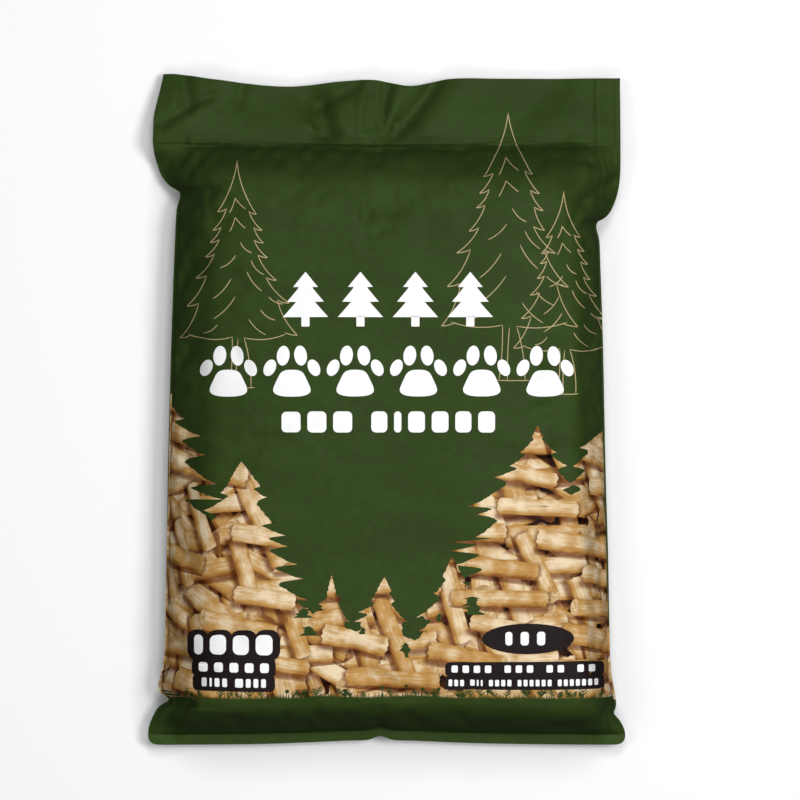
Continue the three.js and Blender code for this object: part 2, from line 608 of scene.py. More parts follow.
    def folds(self, s: Array, t: Array) -> Array:
        """The height of all the folds together, in millimetres."""
        relief = sum(fold.relief(s, t) for fold in HEADER_FOLDS)
        relief = relief * eased(t, self.form.head_weld - 2, self.form.head_weld + 8)
        return relief + sum(fold.relief(s, t) for fold in SHOULDER_FOLDS + FOOT_FOLDS)

    def weld_marks(self, s: Array, t: Array) -> Array:
        """The fine grooves of the welds.

        Two lines are pressed across the head below a raised lip, upright ribs run down the right
        edge of the header, and a cross-groove edges the foot strip.

        Args:
            s: Places across the film.
            t: Stations.

        Returns:
            The height of the marks, in millimetres.
        """
        above = t - self.seal_station(s)
        seal = sum(-self.seal_depth * bell(above, line, 0.7) for line in self.seal_lines)
        ripple = 0.5 + 0.5 * np.sin(s / 4.1) * np.sin(s / 9.7 + 1)
        ragged = above + 0.7 * ripple
        lip = (0.9 + 0.5 * ripple) * bell(ragged, -0.9, 1.1) * (1 - 0.7 * eased(s, 60, 110))
        tuck = -2.4 * bell(ragged, -4.4, 2.4) * (1 - eased(np.abs(s), 135, 152))
        from_edge = self.flat_half - s
        header = eased(t, 370, 384)
        ribs = sum(-self.rib_depth * bell(from_edge, rib, 0.9) for rib in self.ribs_from_edge)
        ribs = (ribs - 0.5 * bell(from_edge, self.ribs_from_edge[0], 1.1)) * header
        foot = -0.5 * bell(t, self.form.foot_weld, 1.1)
        crimp = 0.12 * np.sin(s * math.pi / 2.4) * bell(t, self.form.foot_weld / 2, 5)
        return seal + lip + tuck + ribs + foot + crimp

    def droop(self, s: Array, t: Array) -> Array:
        """How far the ears and the header's ends hang below the seam."""
        ear = eased(-s, 118, 160) * bell(t, 397, np.where(t > 397, 10, 20))
        right = eased(s, 132, 160) * bell(t, 371, np.where(t > 371, 16, 9))
        edge = eased(-s, 150, 166) * eased(t, 415, 440)
        corner = eased(t, 446, 466) * eased(-s, 130, 160)
        return -13 * ear - 12 * right - 4 * edge - 4 * corner

    def soft_lumps(self, s: Array, t: Array) -> Array:
        """Faint broad hollows where the fill has settled: three crossed waves."""
        first = np.sin(s / 31 + 0.8) * np.sin(t / 43 + 0.3)
        second = np.sin(s / 17 - t / 29)
        third = np.sin(s / 53 + t / 37 + 1.9)
        return 0.35 * first + 0.22 * second + 0.4 * third

    def dressed(self, panel: Panel, columns: Array, settled: tuple) -> Array:
        """A ply with its puckers, folds, weld marks and droop.

        Args:
            panel: Which ply.
            columns: Knots across the film.
            settled: What settle returned.

        Returns:
            The ply's points, in millimetres.
        """
        coarse_columns, coarse_rows, moves = settled
        points, full = self.ply(panel, columns, self.rows)
        s, t = np.meshgrid(columns, self.rows)
        along = blend_weights(coarse_rows, self.rows)
        across = blend_weights(coarse_columns, columns)
        points = points + np.einsum("ab,bcd,ec->aed", along, moves[panel], across)
        loose = 1 - full
        if panel is Panel.FRONT:
            relief = self.folds(s, t) + self.weld_marks(s, t) + full * self.soft_lumps(s, t)
        else:
            relief = (self.folds(s, t) + self.weld_marks(s, t)) * np.clip(loose * 3 - 2, 0, 1)
        points[..., 2] += relief + self.droop(s, t) * np.clip(loose * 1.6 - 0.4, 0, 1)
        points[..., 2] = np.maximum(points[..., 2], 0)
        return points

    # The mesh

    def build(self) -> bpy.types.Object:
        """Makes the film's mesh, and keeps the front's grid for what is laid on it.

        The back has every third column of the front. At the foot edge and the header edge its
        last faces take in the front's points, so the surface is closed.

        Returns:
            The film's object.
        """
        settled = self.settle()
        front = self.dressed(Panel.FRONT, self.columns, settled)
        back = self.dressed(Panel.BACK, self.columns[:: self.back_stride], settled)
        self._stand_in_frame(front, back)
        stride = self.back_stride
        edges = (np.s_[0, :], np.s_[-1, :], np.s_[:, 0], np.s_[:, -1])
        for place in edges:
            back[place] = front[:, ::stride][place]
        gap = front[:, ::stride][1:-1, 1:-1, 2] - back[1:-1, 1:-1, 2]
        back[1:-1, 1:-1, 2] -= np.maximum(self.form.film / 2 - gap, 0)
        number = np.arange(front.shape[0] * front.shape[1]).reshape(front.shape[:2])
        back_number = number.size + np.arange(back.shape[0] * back.shape[1])
        back_number = back_number.reshape(back.shape[:2])
        for place in edges:
            back_number[place] = number[:, ::stride][place]
        faces = quads(number).tolist() + quads(back_number[1:-1])[:, ::-1].tolist()
        faces += self._end_faces(back_number[1], number[0], turned=False)
        faces += self._end_faces(back_number[-2], number[-1], turned=True)
        vertices = np.concatenate([front.reshape(-1, 3), back.reshape(-1, 3)])
        self.points, self.normals = front, grid_normals(front)
        self.runs = self._run_along(front)
        self._survey()
        flat = np.concatenate(
            [self._flat(self.columns), self._flat(self.columns[::stride] + 2 * self.flat_half)]
        )
        film = new_mesh("film", vertices, faces, flat)
        tidy_loose(film)
        return film

    def _flat(self, columns: Array) -> Array:
        """Flat film places of a grid of knots, as a list of pairs."""
        s, run = np.meshgrid(columns, self.runs)
        return np.stack([s, run], axis=-1).reshape(-1, 2)

    @staticmethod
    def _run_along(front: Array) -> Array:
        """The distance from the foot edge to each row, along the middle of the front."""
        middle = front[:, front.shape[1] // 2]
        return np.concatenate([[0], np.cumsum(np.linalg.norm(np.diff(middle, axis=0), axis=1))])

    def _end_faces(self, inner: Array, outer: Array, turned: bool) -> list[list[int]]:
        """The faces between the back's last inner row and an edge row that the front shares.

        Args:
            inner: Point numbers of the back's row.
            outer: Point numbers of the front's edge row.
            turned: Whether the faces run the other way round.

        Returns:
            The faces, as lists of point numbers.
        """
        stride = self.back_stride
        faces = []
        for k in range(len(inner) - 1):
            edge = outer[k * stride : (k + 1) * stride + 1].tolist()
            face = [inner[k], inner[k + 1], *edge[::-1]]
            face = list(dict.fromkeys(int(v) for v in face))
            faces.append(face[::-1] if turned else face)
        return faces

    def _stand_in_frame(self, front: Array, back: Array) -> None:
        """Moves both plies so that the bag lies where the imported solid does.

        Args:
            front: The front's points in millimetres, which are moved in place.
            back: The back's points, moved with them.
        """
        low, high = (np.array(corner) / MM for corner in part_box(NODE))
        own_low = np.minimum(front.min(axis=(0, 1)), back.min(axis=(0, 1)))
        own_high = np.maximum(front.max(axis=(0, 1)), back.max(axis=(0, 1)))
        shift = (low + high - own_low - own_high) / 2
        shift[2] = low[2] - own_low[2]
        front += shift
        back += shift

    # What lies on the film

    def _survey(self) -> None:
        """Notes, for each row, the flat place and the height at even steps across the plan."""
        self.plan = np.arange(-self.flat_half, self.flat_half + 1)
        x = np.maximum.accumulate(self.points[..., 0], axis=1)
        self.plan_place = np.stack([np.interp(self.plan, row, self.columns) for row in x])
        self.plan_height = np.stack(
            [np.interp(self.plan, row, z) for row, z in zip(x, self.points[..., 2])]
        )
        middle = self.points[:, self.points.shape[1] // 2, 1]
        self.plan_start = float(np.median((middle - self.rows)[80:-80]))

    def from_above(self, patch: Array) -> Array:
        """Where on the flat film a print must be to show at a place when seen from the camera.

        What is higher looks larger by its share of the camera's distance, so each place is drawn
        in towards the view's middle by that much. It then falls straight down onto the film.

        Args:
            patch: Places on the level of the seams, from the film's middle line and foot edge.

        Returns:
            The flat places.
        """
        studio = Studio()
        middle = np.array(studio.aim) / MM - (0, self.plan_start)
        factor, place = 0.982, patch
        for _ in range(2):
            place = middle + (patch - middle) * factor
            height = read_grid(self.plan_height, self.plan, self.rows, place[..., 0], place[..., 1])
            factor = 1 - (height[..., None] - self.form.seam_at_fill) * MM / studio.distance
        s = read_grid(self.plan_place, self.plan, self.rows, place[..., 0], place[..., 1])
        s = np.clip(s, -self.flat_half, self.flat_half - 0.3)
        return np.stack([s, place[..., 1]], axis=-1)

    def print_limit(self, t: Array, side: Array) -> Array:
        """How far out a print can reach: the outline, and on the right what leans over it."""
        return self.form.outline_half_width(t, side) + np.where(side < 0, -0.25, 2.4)

    def place(self, s: Array, t: Array, lift: Array | float) -> Array:
        """Points on the front of the film, or a little over it.

        Args:
            s: Places across the flat film.
            t: Stations.
            lift: How far over the film.

        Returns:
            The points in millimetres: a two-way average of the four nearest points of the grid,
            moved along the average of their normals.
        """
        point = read_grid(self.points, self.columns, self.rows, s, t)
        normal = read_grid(self.normals, self.columns, self.rows, s, t)
        return point + normal * np.asarray(lift)[..., None]

    def lay(
        self, name: str, patches: Sequence[Array], lift: float, step: float = 0.0
    ) -> bpy.types.Object:
        """Lays flat patches on the film as one object.

        Args:
            name: The object's name.
            patches: Grids of flat places, each of shape (rows, columns, 2).
            lift: The first patch's height over the film.
            step: How much higher each next patch lies, for patches that overlap.

        Returns:
            The object, with its faces outwards.
        """
        vertices, faces, flat, first = [], [], [], 0
        for k, patch in enumerate(patches):
            patch = self.from_above(patch + (0, self.print_start))
            s, t = patch[..., 0], patch[..., 1]
            vertices.append(self.place(s, t, lift + k * step).reshape(-1, 3))
            run = np.interp(t, self.rows, self.runs)
            flat.append(np.stack([s, run], axis=-1).reshape(-1, 2))
            number = first + np.arange(s.size).reshape(s.shape)
            faces.append(facing_up(quads(number), flat, vertices))
            first += s.size
        vertices, faces, flat = (np.concatenate(parts) for parts in (vertices, faces, flat))
        return new_mesh(name, vertices, faces.tolist(), flat)


def quads(number: Array) -> Array:
    """The four corners of each cell of a grid of point numbers, turning left seen from above."""
    corners = [number[:-1, :-1], number[:-1, 1:], number[1:, 1:], number[1:, :-1]]
    return np.stack(corners, axis=-1).reshape(-1, 4)


def facing_up(faces: Array, flat: Sequence[Array], vertices: Sequence[Array]) -> Array:
    """Turns a patch's faces over where its flat places run the other way round."""
    places = np.concatenate(flat)[faces]
    one, two = places[:, 1] - places[:, 0], places[:, 3] - places[:, 0]
    turn = one[:, 0] * two[:, 1] - one[:, 1] * two[:, 0]
    return faces[:, ::-1] if turn.sum() < 0 else faces


def grid_normals(points: Array) -> Array:
    """Unit normals of a grid: the cross product of its slopes across and along."""
    across = np.gradient(points, axis=1)
    along = np.gradient(points, axis=0)
    normal = np.cross(across, along)
    return normal / np.maximum(np.linalg.norm(normal, axis=-1, keepdims=True), 1e-9)


def new_mesh(name: str, vertices: Array, faces: list, flat: Array) -> bpy.types.Object:
    """Puts a surface into Blender.

    Args:
        name: The object's name.
        vertices: Points in millimetres.
        faces: Lists of point numbers.
        flat: Each point's place on the flat film, in millimetres.

    Returns:
        The object, at the origin, with a map of flat places in metres and one for baking.
    """
    mesh = bpy.data.meshes.new(name)
    mesh.from_pydata((vertices * MM).tolist(), [], faces)
    corner = np.empty(len(mesh.loops), dtype=np.int64)
    mesh.loops.foreach_get("vertex_index", corner)
    low, high = flat.min(axis=0), flat.max(axis=0)
    span = float((high - low).max())
    for map_name, places in (("film", flat * MM), ("OFBake", (flat - low) / span)):
        layer = mesh.uv_layers.new(name=map_name)
        layer.data.foreach_set("uv", places[corner].astype(np.float32).ravel())
    mesh.uv_layers.active = mesh.uv_layers["film"]
    mesh.shade_smooth()
    made = bpy.data.objects.new(name, mesh)
    bpy.context.scene.collection.objects.link(made)
    return made


def tidy_loose(made: bpy.types.Object) -> None:
    """Removes points that no face uses, and keeps the edge between the plies crisp."""
    mesh = made.data
    used = np.zeros(len(mesh.vertices), bool)
    corner = np.empty(len(mesh.loops), dtype=np.int64)
    mesh.loops.foreach_get("vertex_index", corner)
    used[corner] = True
    work = bmesh.new()
    work.from_mesh(mesh)
    work.verts.ensure_lookup_table()
    spare = [work.verts[int(k)] for k in np.flatnonzero(~used)]
    bmesh.ops.delete(work, geom=spare, context="VERTS")
    work.to_mesh(mesh)
    work.free()
    mesh.set_sharp_from_angle(angle=math.radians(70))


# ---------------------------------------------------------------------------------------------
# Shapes of the print
# ---------------------------------------------------------------------------------------------


def row_patch(heights: Array, left: Array, right: Array, columns: int) -> Array:
    """A filled shape as rows between a left and a right edge, each a function of height.

    Args:
        heights: The rows' heights.
        left: Where each row begins.
        right: Where each row ends.
        columns: How many faces a row has.

    Returns:
        A grid of flat places, of shape (rows, columns + 1, 2).
    """
    part = np.linspace(0, 1, columns + 1)
    s = left[:, None] * (1 - part) + right[:, None] * part
    t = np.broadcast_to(heights[:, None], s.shape)
    return np.stack([s, t], axis=-1)


def ribbon(line: Array, width: float) -> Array:
    """A drawn line as a two-column grid: each point pushed half the width to either side.

    Args:
        line: Flat places along the line.
        width: The line's width, which narrows to a third at both ends.

    Returns:
        A grid of flat places, of shape (points, 2, 2).
    """
    way = np.gradient(line, axis=0)
    way /= np.maximum(np.linalg.norm(way, axis=1, keepdims=True), 1e-9)
    side = np.stack([way[:, 1], -way[:, 0]], axis=1)
    part = np.linspace(0, 1, len(line))
    half = width / 2 * np.clip(np.minimum(part, 1 - part) * 8 + 0.34, 0, 1)
    return np.stack([line - side * half[:, None], line + side * half[:, None]], axis=1)


def bent(start: Place, end: Place, bow: float, step: float = 1.2) -> Array:
    """A line from start to end that bows to its left by bow at the middle, as a parabola does."""
    a, b = np.array(start, float), np.array(end, float)
    length = float(np.linalg.norm(b - a))
    part = np.linspace(0, 1, max(3, round(length / step) + 1))[:, None]
    side = np.array([-(b - a)[1], (b - a)[0]]) / max(length, 1e-9)
    return a + (b - a) * part + side * bow * 4 * part * (1 - part)


def plate(width: float, height: float, radius: float, cell: float = 2.0) -> Array:
    """A rectangle with round corners about the origin: its rows shorten by the corner's circle.

    Args:
        width: The width.
        height: The height.
        radius: The corner radius.
        cell: The size of a face.

    Returns:
        A grid of flat places.
    """
    corner = radius * (1 - np.cos(np.linspace(0, math.pi / 2, 6)))
    straight = np.arange(radius, height - radius, cell)[1:]
    heights = np.concatenate([corner, straight, height - corner[::-1]]) - height / 2
    into = np.maximum(np.abs(heights) - (height / 2 - radius), 0)
    half = width / 2 - radius + np.sqrt(np.maximum(radius**2 - into**2, 0))
    return row_patch(heights, -half, half, max(2, round(width / cell)))


def oval(half_width: float, half_height: float, turn: float = 0.0) -> Array:
    """An ellipse about the origin, turned by an angle: rows at even angles of its circle."""
    angle = np.linspace(-math.pi / 2, math.pi / 2, 15)
    half = half_width * np.cos(angle) + 0.01
    rows = half_height * np.sin(angle)
    return turned(row_patch(rows, -half, half, max(4, round(half_width / 1.2))), turn)


def turned(patch: Array, angle: float) -> Array:
    """A patch turned about the origin by an angle in radians."""
    c, s = math.cos(angle), math.sin(angle)
    return patch @ np.array([[c, s], [-s, c]])


def moved(patch: Array, at: Place, scale: float = 1.0) -> Array:
    """A patch scaled about the origin and moved to a place."""
    return patch * scale + np.array(at)


@dataclass(frozen=True)
class FirShape:
    """The outline of a fir, given by its boughs: how far below its top each ends, and how far out.

    Under each bough the edge falls back to a notch, swells out again, and flicks out to the next
    bough's tip.
    """

    tip: Place
    left: tuple[Place, ...]
    right: tuple[Place, ...]
    low: float | None = None
    notch: float = 0.5
    swell: float = 1.5
    flick: float = 0.3
    fall: float = 0.34
    ragged: float = 0.7

    def boughs(self, side: Side) -> Array:
        """A side's boughs after the top itself."""
        return np.array([(0.0, 0.2), *(self.left if side is Side.LEFT else self.right)])

    def reach(self, below: Array, side: Side) -> Array:
        """How far a side reaches out at a depth below the top.

        Between two boughs it starts at the last tip and falls back to the notch by a power of
        what is left of the fall. The rest to the next tip is multiplied by a mix of a swelling
        power of the share of the way down and a flick of its sixth power.

        Args:
            below: Depths below the top.
            side: Which side.

        Returns:
            The distances from the middle line of the fir.
        """
        depths, reaches = self.boughs(side).T
        k = np.clip(np.searchsorted(depths, below, side="left"), 1, len(depths) - 1)
        part = np.clip((below - depths[k - 1]) / (depths[k] - depths[k - 1]), 0, 1)
        start = np.where(k > 1, reaches[k - 1] * (1 - self.notch), reaches[0])
        back = np.where(k > 1, (1 - np.clip(part / self.fall, 0, 1)) ** 1.7, 0)
        back = back * (reaches[k - 1] - start)
        rest = np.where(k > 1, np.clip((part - 0.5 * self.fall) / (1 - 0.5 * self.fall), 0, 1), part)
        out = (1 - self.flick) * (1 - (1 - rest) ** self.swell) + self.flick * rest**6
        under = reaches[-1] * (1 - self.notch / 2)
        rough = self.ragged * np.sin(below * 2.9 + side.value) * np.sin(below * 1.1)
        rough = rough * np.clip(below / 12, 0, 1)
        inside = start + back + (reaches[k] - start) * out
        return rough + np.where(below > depths[-1], under, inside)

    def patch(self, film: "Film", fine: float = 1.0) -> Array:
        """The filled outline, kept within the film's own outline.

        Args:
            film: The film it is printed on.
            fine: The size of a face.

        Returns:
            A grid of flat places.
        """
        depths = np.concatenate([self.boughs(side)[:, 0] for side in Side])
        height = depths.max() if self.low is None else self.tip[1] - self.low
        near = np.concatenate([depths - 0.02, depths + 0.02])
        below = np.unique(np.concatenate([np.arange(0, height, 0.7 * fine), near]))
        below = np.append(below[(below >= 0) & (below < height)], height)
        stations = self.tip[1] - below
        edges = []
        for side in Side:
            edge = self.tip[0] + side.value * self.reach(below, side)
            limit = film.print_limit(stations, np.full(len(below), side.value))
            edges.append(np.clip(edge, -limit, limit))
        width = (edges[1] - edges[0]).max()
        return row_patch(stations, edges[0], edges[1], max(3, round(width / fine)))


@dataclass(frozen=True)
class FirSketch:
    """A fir drawn in line: two zigzag sides, short strokes for boughs, skirts and a trunk."""

    tip: Place
    height: float
    half_width: float
    trunk: float
    line: float = 0.62
    seed: int = 1
    levels: tuple[float, ...] = (0.0, 0.29, 0.38, 0.45, 0.54, 0.65, 0.79, 0.97)
    reaches: tuple[float, ...] = (0.0, 0.34, 0.43, 0.48, 0.55, 0.7, 0.88, 1.0)

    def sides(self) -> list[Array]:
        """The zigzag sides, tier by tier: a bowed stroke out, then a hooked stroke back in."""
        strokes = []
        shuffle = np.random.default_rng(self.seed)
        h, w = self.height, self.half_width
        for side in Side:
            sign, inner = side.value, (0.0, 0.0)
            for level, reach in zip(self.levels[1:], self.reaches[1:]):
                low = (level + shuffle.uniform(-0.012, 0.012)) * h
                out_by = w * reach * shuffle.uniform(0.94, 1.05)
                outer = (sign * out_by, -low)
                out = bent(inner, outer, -sign * 0.07 * float(np.hypot(*np.subtract(outer, inner))))
                hook_by = w * (0.1 + 0.1 * reach) * shuffle.uniform(0.85, 1.2)
                inner = (sign * (out_by - hook_by), -low + 0.016 * h)
                strokes.append(np.concatenate([out, bent(outer, inner, sign * 0.5, 0.8)[1:]]))
        return strokes

    def boughs(self) -> list[Array]:
        """Strokes inside the outline: two chevrons near the tip, then pairs of bowed strokes."""
        h, w = self.height, self.half_width
        strokes = []
        for level in (0.21, 0.315):
            top = (-0.03 * w, -h * level)
            strokes.append(bent(top, (-0.13 * w, -h * (level + 0.08)), 0.5))
            strokes.append(bent(top, (0.15 * w, -h * (level + 0.062)), -0.5))
        right = ((0.06, 0.45, 0.26, 0.51), (0.24, 0.55, 0.46, 0.63), (0.17, 0.61, 0.43, 0.72))
        right += ((0.54, 0.75, 0.8, 0.79), (0.4, 0.82, 0.66, 0.88), (0.2, 0.87, 0.5, 0.96))
        left = ((0.02, 0.52, 0.29, 0.59), (0.1, 0.65, 0.41, 0.76))
        left += ((0.03, 0.75, 0.4, 0.87), (0.33, 0.9, 0.58, 0.95))
        for sign, lines in ((1, right), (-1, left)):
            for a, b, c, d in lines:
                strokes.append(bent((sign * a * w, -b * h), (sign * c * w, -d * h), -sign * 1.3))
        return strokes

    def skirts(self) -> list[Array]:
        """The lowest boughs' undersides and the trunk."""
        h, w, foot = self.height, self.half_width, self.height + self.trunk
        return [
            bent((-0.82 * w, -h * 0.955), (-0.08 * w, -h * 0.97), -2.6),
            bent((0.12 * w, -h * 0.975), (0.84 * w, -h * 0.955), -2.4),
            bent((-0.08 * w, -h * 0.97), (-0.13 * w, -foot), 0.8),
            bent((0.02 * w, -h * 0.98), (-0.01 * w, -foot), -0.5),
            bent((0.12 * w, -h * 0.975), (0.24 * w, -foot), 1.4),
            bent((-0.16 * w, -foot), (0.3 * w, -foot), -0.3),
        ]

    def patches(self) -> list[Array]:
        """All the fir's lines as ribbons in place."""
        lines = self.sides() + self.boughs() + self.skirts()
        return [moved(ribbon(line, self.line), self.tip) for line in lines]


def paw() -> list[Array]:
    """A paw print about the origin: a pad of three lobes and four toes."""
    angle = np.linspace(-math.pi / 2, math.pi / 2, 25)
    rows = -8.5 + 8.6 * np.sin(angle)
    lobes = 1 + 0.16 * np.sin(2.0 * angle - 2.2)
    half = 12.2 * np.cos(angle) ** 0.75 * lobes * (1 - 0.16 * (rows + 8.5) / 8.6) + 0.01
    pad = row_patch(rows, -half, half, 16)
    inner = [moved(oval(4.1, 6.4, sign * 0.12), (sign * 5.6, 9.2)) for sign in (-1, 1)]
    outer = [moved(oval(3.7, 5.6, sign * 0.45), (sign * 14.2, 1.4)) for sign in (-1, 1)]
    return [pad, *inner, *outer]


def marks(
    words: Sequence[Sequence[float]], height: float, gap: float, space: float, radius: float
) -> list[Array]:
    """Rows of plain blocks set out as words are, centred on the origin.

    Args:
        words: For each word, the widths of its blocks.
        height: The blocks' height.
        gap: The gap between blocks.
        space: The gap between words.
        radius: The corner radius.

    Returns:
        The blocks' patches.
    """
    total = sum(sum(word) + gap * (len(word) - 1) for word in words) + space * (len(words) - 1)
    at, found = -total / 2, []
    for word in words:
        for width in word:
            block = plate(width, height, min(radius, width / 2 - 0.05, height / 2 - 0.05), 1.6)
            found.append(moved(block, (at + width / 2, 0)))
            at += width + gap
        at += space - gap
    return found


# ---------------------------------------------------------------------------------------------
# Shader nodes
# ---------------------------------------------------------------------------------------------


class Graph:
    """A short way to write a tree of shader nodes."""

    def __init__(self, tree: bpy.types.NodeTree) -> None:
        """Takes the tree that the nodes go into."""
        self.tree = tree

    def node(self, kind: str, **settings: object) -> bpy.types.Node:
        """A new node with its settings."""
        made = self.tree.nodes.new(kind)
        for name, value in settings.items():
            setattr(made, name, value)
        return made

    def feed(self, socket: bpy.types.NodeSocket, value: Value) -> None:
        """Links a socket to another, or sets its number or colour."""
        if isinstance(value, bpy.types.NodeSocket):
            self.tree.links.new(value, socket)
        else:
            socket.default_value = value

    def math(self, operation: str, *values: Value) -> bpy.types.NodeSocket:
        """A Math node's result."""
        made = self.node("ShaderNodeMath", operation=operation)
        for socket, value in zip(made.inputs, values):
            self.feed(socket, value)
        return made.outputs[0]

    def sum(self, *values: Value) -> bpy.types.NodeSocket:
        """The sum of two or more values."""
        total = values[0]
        for value in values[1:]:
            total = self.math("ADD", total, value)
        return total

    def minus(self, first: Value, second: Value) -> bpy.types.NodeSocket:
        """The first value less the second."""
        return self.math("SUBTRACT", first, second)

    def times(self, first: Value, second: Value) -> bpy.types.NodeSocket:
        """The product of two values."""
        return self.math("MULTIPLY", first, second)

    def over(self, first: Value, second: Value) -> bpy.types.NodeSocket:
        """The first value divided by the second."""
        return self.math("DIVIDE", first, second)

    def fitted(self, value: Value, factor: Value, start: Value) -> bpy.types.NodeSocket:
        """A value times a factor, from a start."""
        return self.math("MULTIPLY_ADD", value, factor, start)

    def size(self, value: Value) -> bpy.types.NodeSocket:
        """A value without its sign."""
        return self.math("ABSOLUTE", value)

    def ramp(
        self, value: Value, low: float, high: float, start: float = 0.0, end: float = 1.0
    ) -> bpy.types.NodeSocket:
        """A smooth step of value from start at low to end at high.

        Args:
            value: The value.
            low: Where the step begins.
            high: Where it ends.
            start: The result at low.
            end: The result at high.

        Returns:
            The result.
        """
        made = self.node("ShaderNodeMapRange", interpolation_type="SMOOTHSTEP")
        for socket, number in zip(made.inputs, (value, low, high, start, end)):
            self.feed(socket, number)
        return made.outputs["Result"]

    def mix(
        self, factor: Value, first: Value, second: Value, how: str = "MIX"
    ) -> bpy.types.NodeSocket:
        """A mix of two colours.

        Args:
            factor: How much of the second colour.
            first: The first colour.
            second: The second colour.
            how: The way to blend them.

        Returns:
            The mixed colour.
        """
        made = self.node("ShaderNodeMix", data_type="RGBA", blend_type=how)
        self.feed(made.inputs[0], factor)
        self.feed(made.inputs[6], first)
        self.feed(made.inputs[7], second)
        return made.outputs[2]

    def vector(self, x: Value, y: Value, z: Value = 0.0) -> bpy.types.NodeSocket:
        """A vector from its three parts."""
        made = self.node("ShaderNodeCombineXYZ")
        for socket, value in zip(made.inputs, (x, y, z)):
            self.feed(socket, value)
        return made.outputs[0]

    def parts(self, vector: Value) -> tuple[bpy.types.NodeSocket, ...]:
        """The three parts of a vector."""
        made = self.node("ShaderNodeSeparateXYZ")
        self.feed(made.inputs[0], vector)
        return tuple(made.outputs)

    def turn(self, vector: Value, angle: Value) -> bpy.types.NodeSocket:
        """A vector turned about Z by an angle."""
        made = self.node("ShaderNodeVectorRotate", rotation_type="Z_AXIS")
        self.feed(made.inputs["Vector"], vector)
        self.feed(made.inputs["Angle"], angle)
        return made.outputs[0]

    def noise(
        self, vector: Value, scale: float, detail: float = 2.0, rough: float = 0.5
    ) -> bpy.types.NodeSocket:
        """A noise between 0 and 1.

        Args:
            vector: The place.
            scale: Waves in a unit.
            detail: How many octaves.
            rough: How strong the finer octaves are.

        Returns:
            The noise.
        """
        made = self.node("ShaderNodeTexNoise")
        self.feed(made.inputs["Vector"], vector)
        made.inputs["Scale"].default_value = scale
        made.inputs["Detail"].default_value = detail
        made.inputs["Roughness"].default_value = rough
        return made.outputs[0]

    def dice(self, vector: Value) -> tuple[bpy.types.NodeSocket, ...]:
        """Three random numbers for a cell, each between 0 and 1."""
        made = self.node("ShaderNodeTexWhiteNoise", noise_dimensions="3D")
        self.feed(made.inputs["Vector"], vector)
        return self.parts(made.outputs["Color"])

    def scaled(self, vector: Value, x: float, y: float, z: float = 1.0) -> bpy.types.NodeSocket:
        """A vector with each part multiplied."""
        made = self.node("ShaderNodeVectorMath", operation="MULTIPLY")
        self.feed(made.inputs[0], vector)
        self.feed(made.inputs[1], (x, y, z))
        return made.outputs[0]

    def film_place(self) -> bpy.types.NodeSocket:
        """The place on the flat film, in millimetres."""
        made = self.node("ShaderNodeUVMap", uv_map="film")
        return self.scaled(made.outputs[0], 1 / MM, 1 / MM, 1 / MM)

    def group(self, tree: bpy.types.NodeTree, **inputs: Value) -> bpy.types.Node:
        """Another tree placed here, with its inputs fed by name."""
        made = self.node("ShaderNodeGroup", node_tree=tree)
        for name, value in inputs.items():
            self.feed(made.inputs[name.replace("_", " ")], value)
        return made


def new_group(name: str, inputs: dict[str, tuple[str, object]], outputs: dict[str, str]) -> tuple:
    """An empty shader group with named sockets.

    Args:
        name: The group's name.
        inputs: Each input's kind and value.
        outputs: Each output's kind.

    Returns:
        The graph, the group's input sockets and its output sockets.
    """
    tree = bpy.data.node_groups.new(name, "ShaderNodeTree")
    for label, (kind, value) in inputs.items():
        made = tree.interface.new_socket(label, in_out="INPUT", socket_type=kind)
        made.default_value = value
    for label, kind in outputs.items():
        tree.interface.new_socket(label, in_out="OUTPUT", socket_type=kind)
    graph = Graph(tree)
    return graph, graph.node("NodeGroupInput").outputs, graph.node("NodeGroupOutput").inputs


FLOAT, COLOUR, VECTOR = "NodeSocketFloat", "NodeSocketColor", "NodeSocketVector"


def film_grain_group() -> bpy.types.NodeTree:
    """The fine surface of the film, which the ink on it shares.

    Long soft creases, short crinkles and a fine haze give the height. The same noises vary the
    roughness, and paint shade and light into the colour: darker in the hollows of the creases and
    crinkles, lighter on their ridges.
    """
    graph, given, out = new_group(
        "film_grain",
        {"Place": (VECTOR, (0, 0, 0)), "Crinkle": (FLOAT, 1.0)},
        {"Height": FLOAT, "Crease shade": FLOAT, "Gloss": FLOAT},
    )
    place = given["Place"]
    long_creases = graph.noise(graph.scaled(graph.turn(place, 0.25), 0.012, 0.045), 1.0, 3.0, 0.55)
    crinkles = graph.noise(place, 0.16, 4.0, 0.62)
    haze = graph.noise(place, 1.1, 2.0, 0.5)
    height = graph.sum(
        graph.times(long_creases, 0.9),
        graph.times(crinkles, 0.32),
        graph.times(haze, 0.03),
    )
    graph.feed(out["Height"], graph.times(height, given["Crinkle"]))
    # painted shade: the colour's tone follows the creases' height, darker in their hollows
    graph.feed(out["Crease shade"], graph.ramp(graph.sum(long_creases, crinkles), 0.7, 1.3, 0.9, 1.1))
    graph.feed(out["Gloss"], graph.ramp(crinkles, 0.3, 0.7, -0.06, 0.06))
    return graph.tree


GAP_BROWN: Colour = (0.045, 0.014, 0.004, 1)


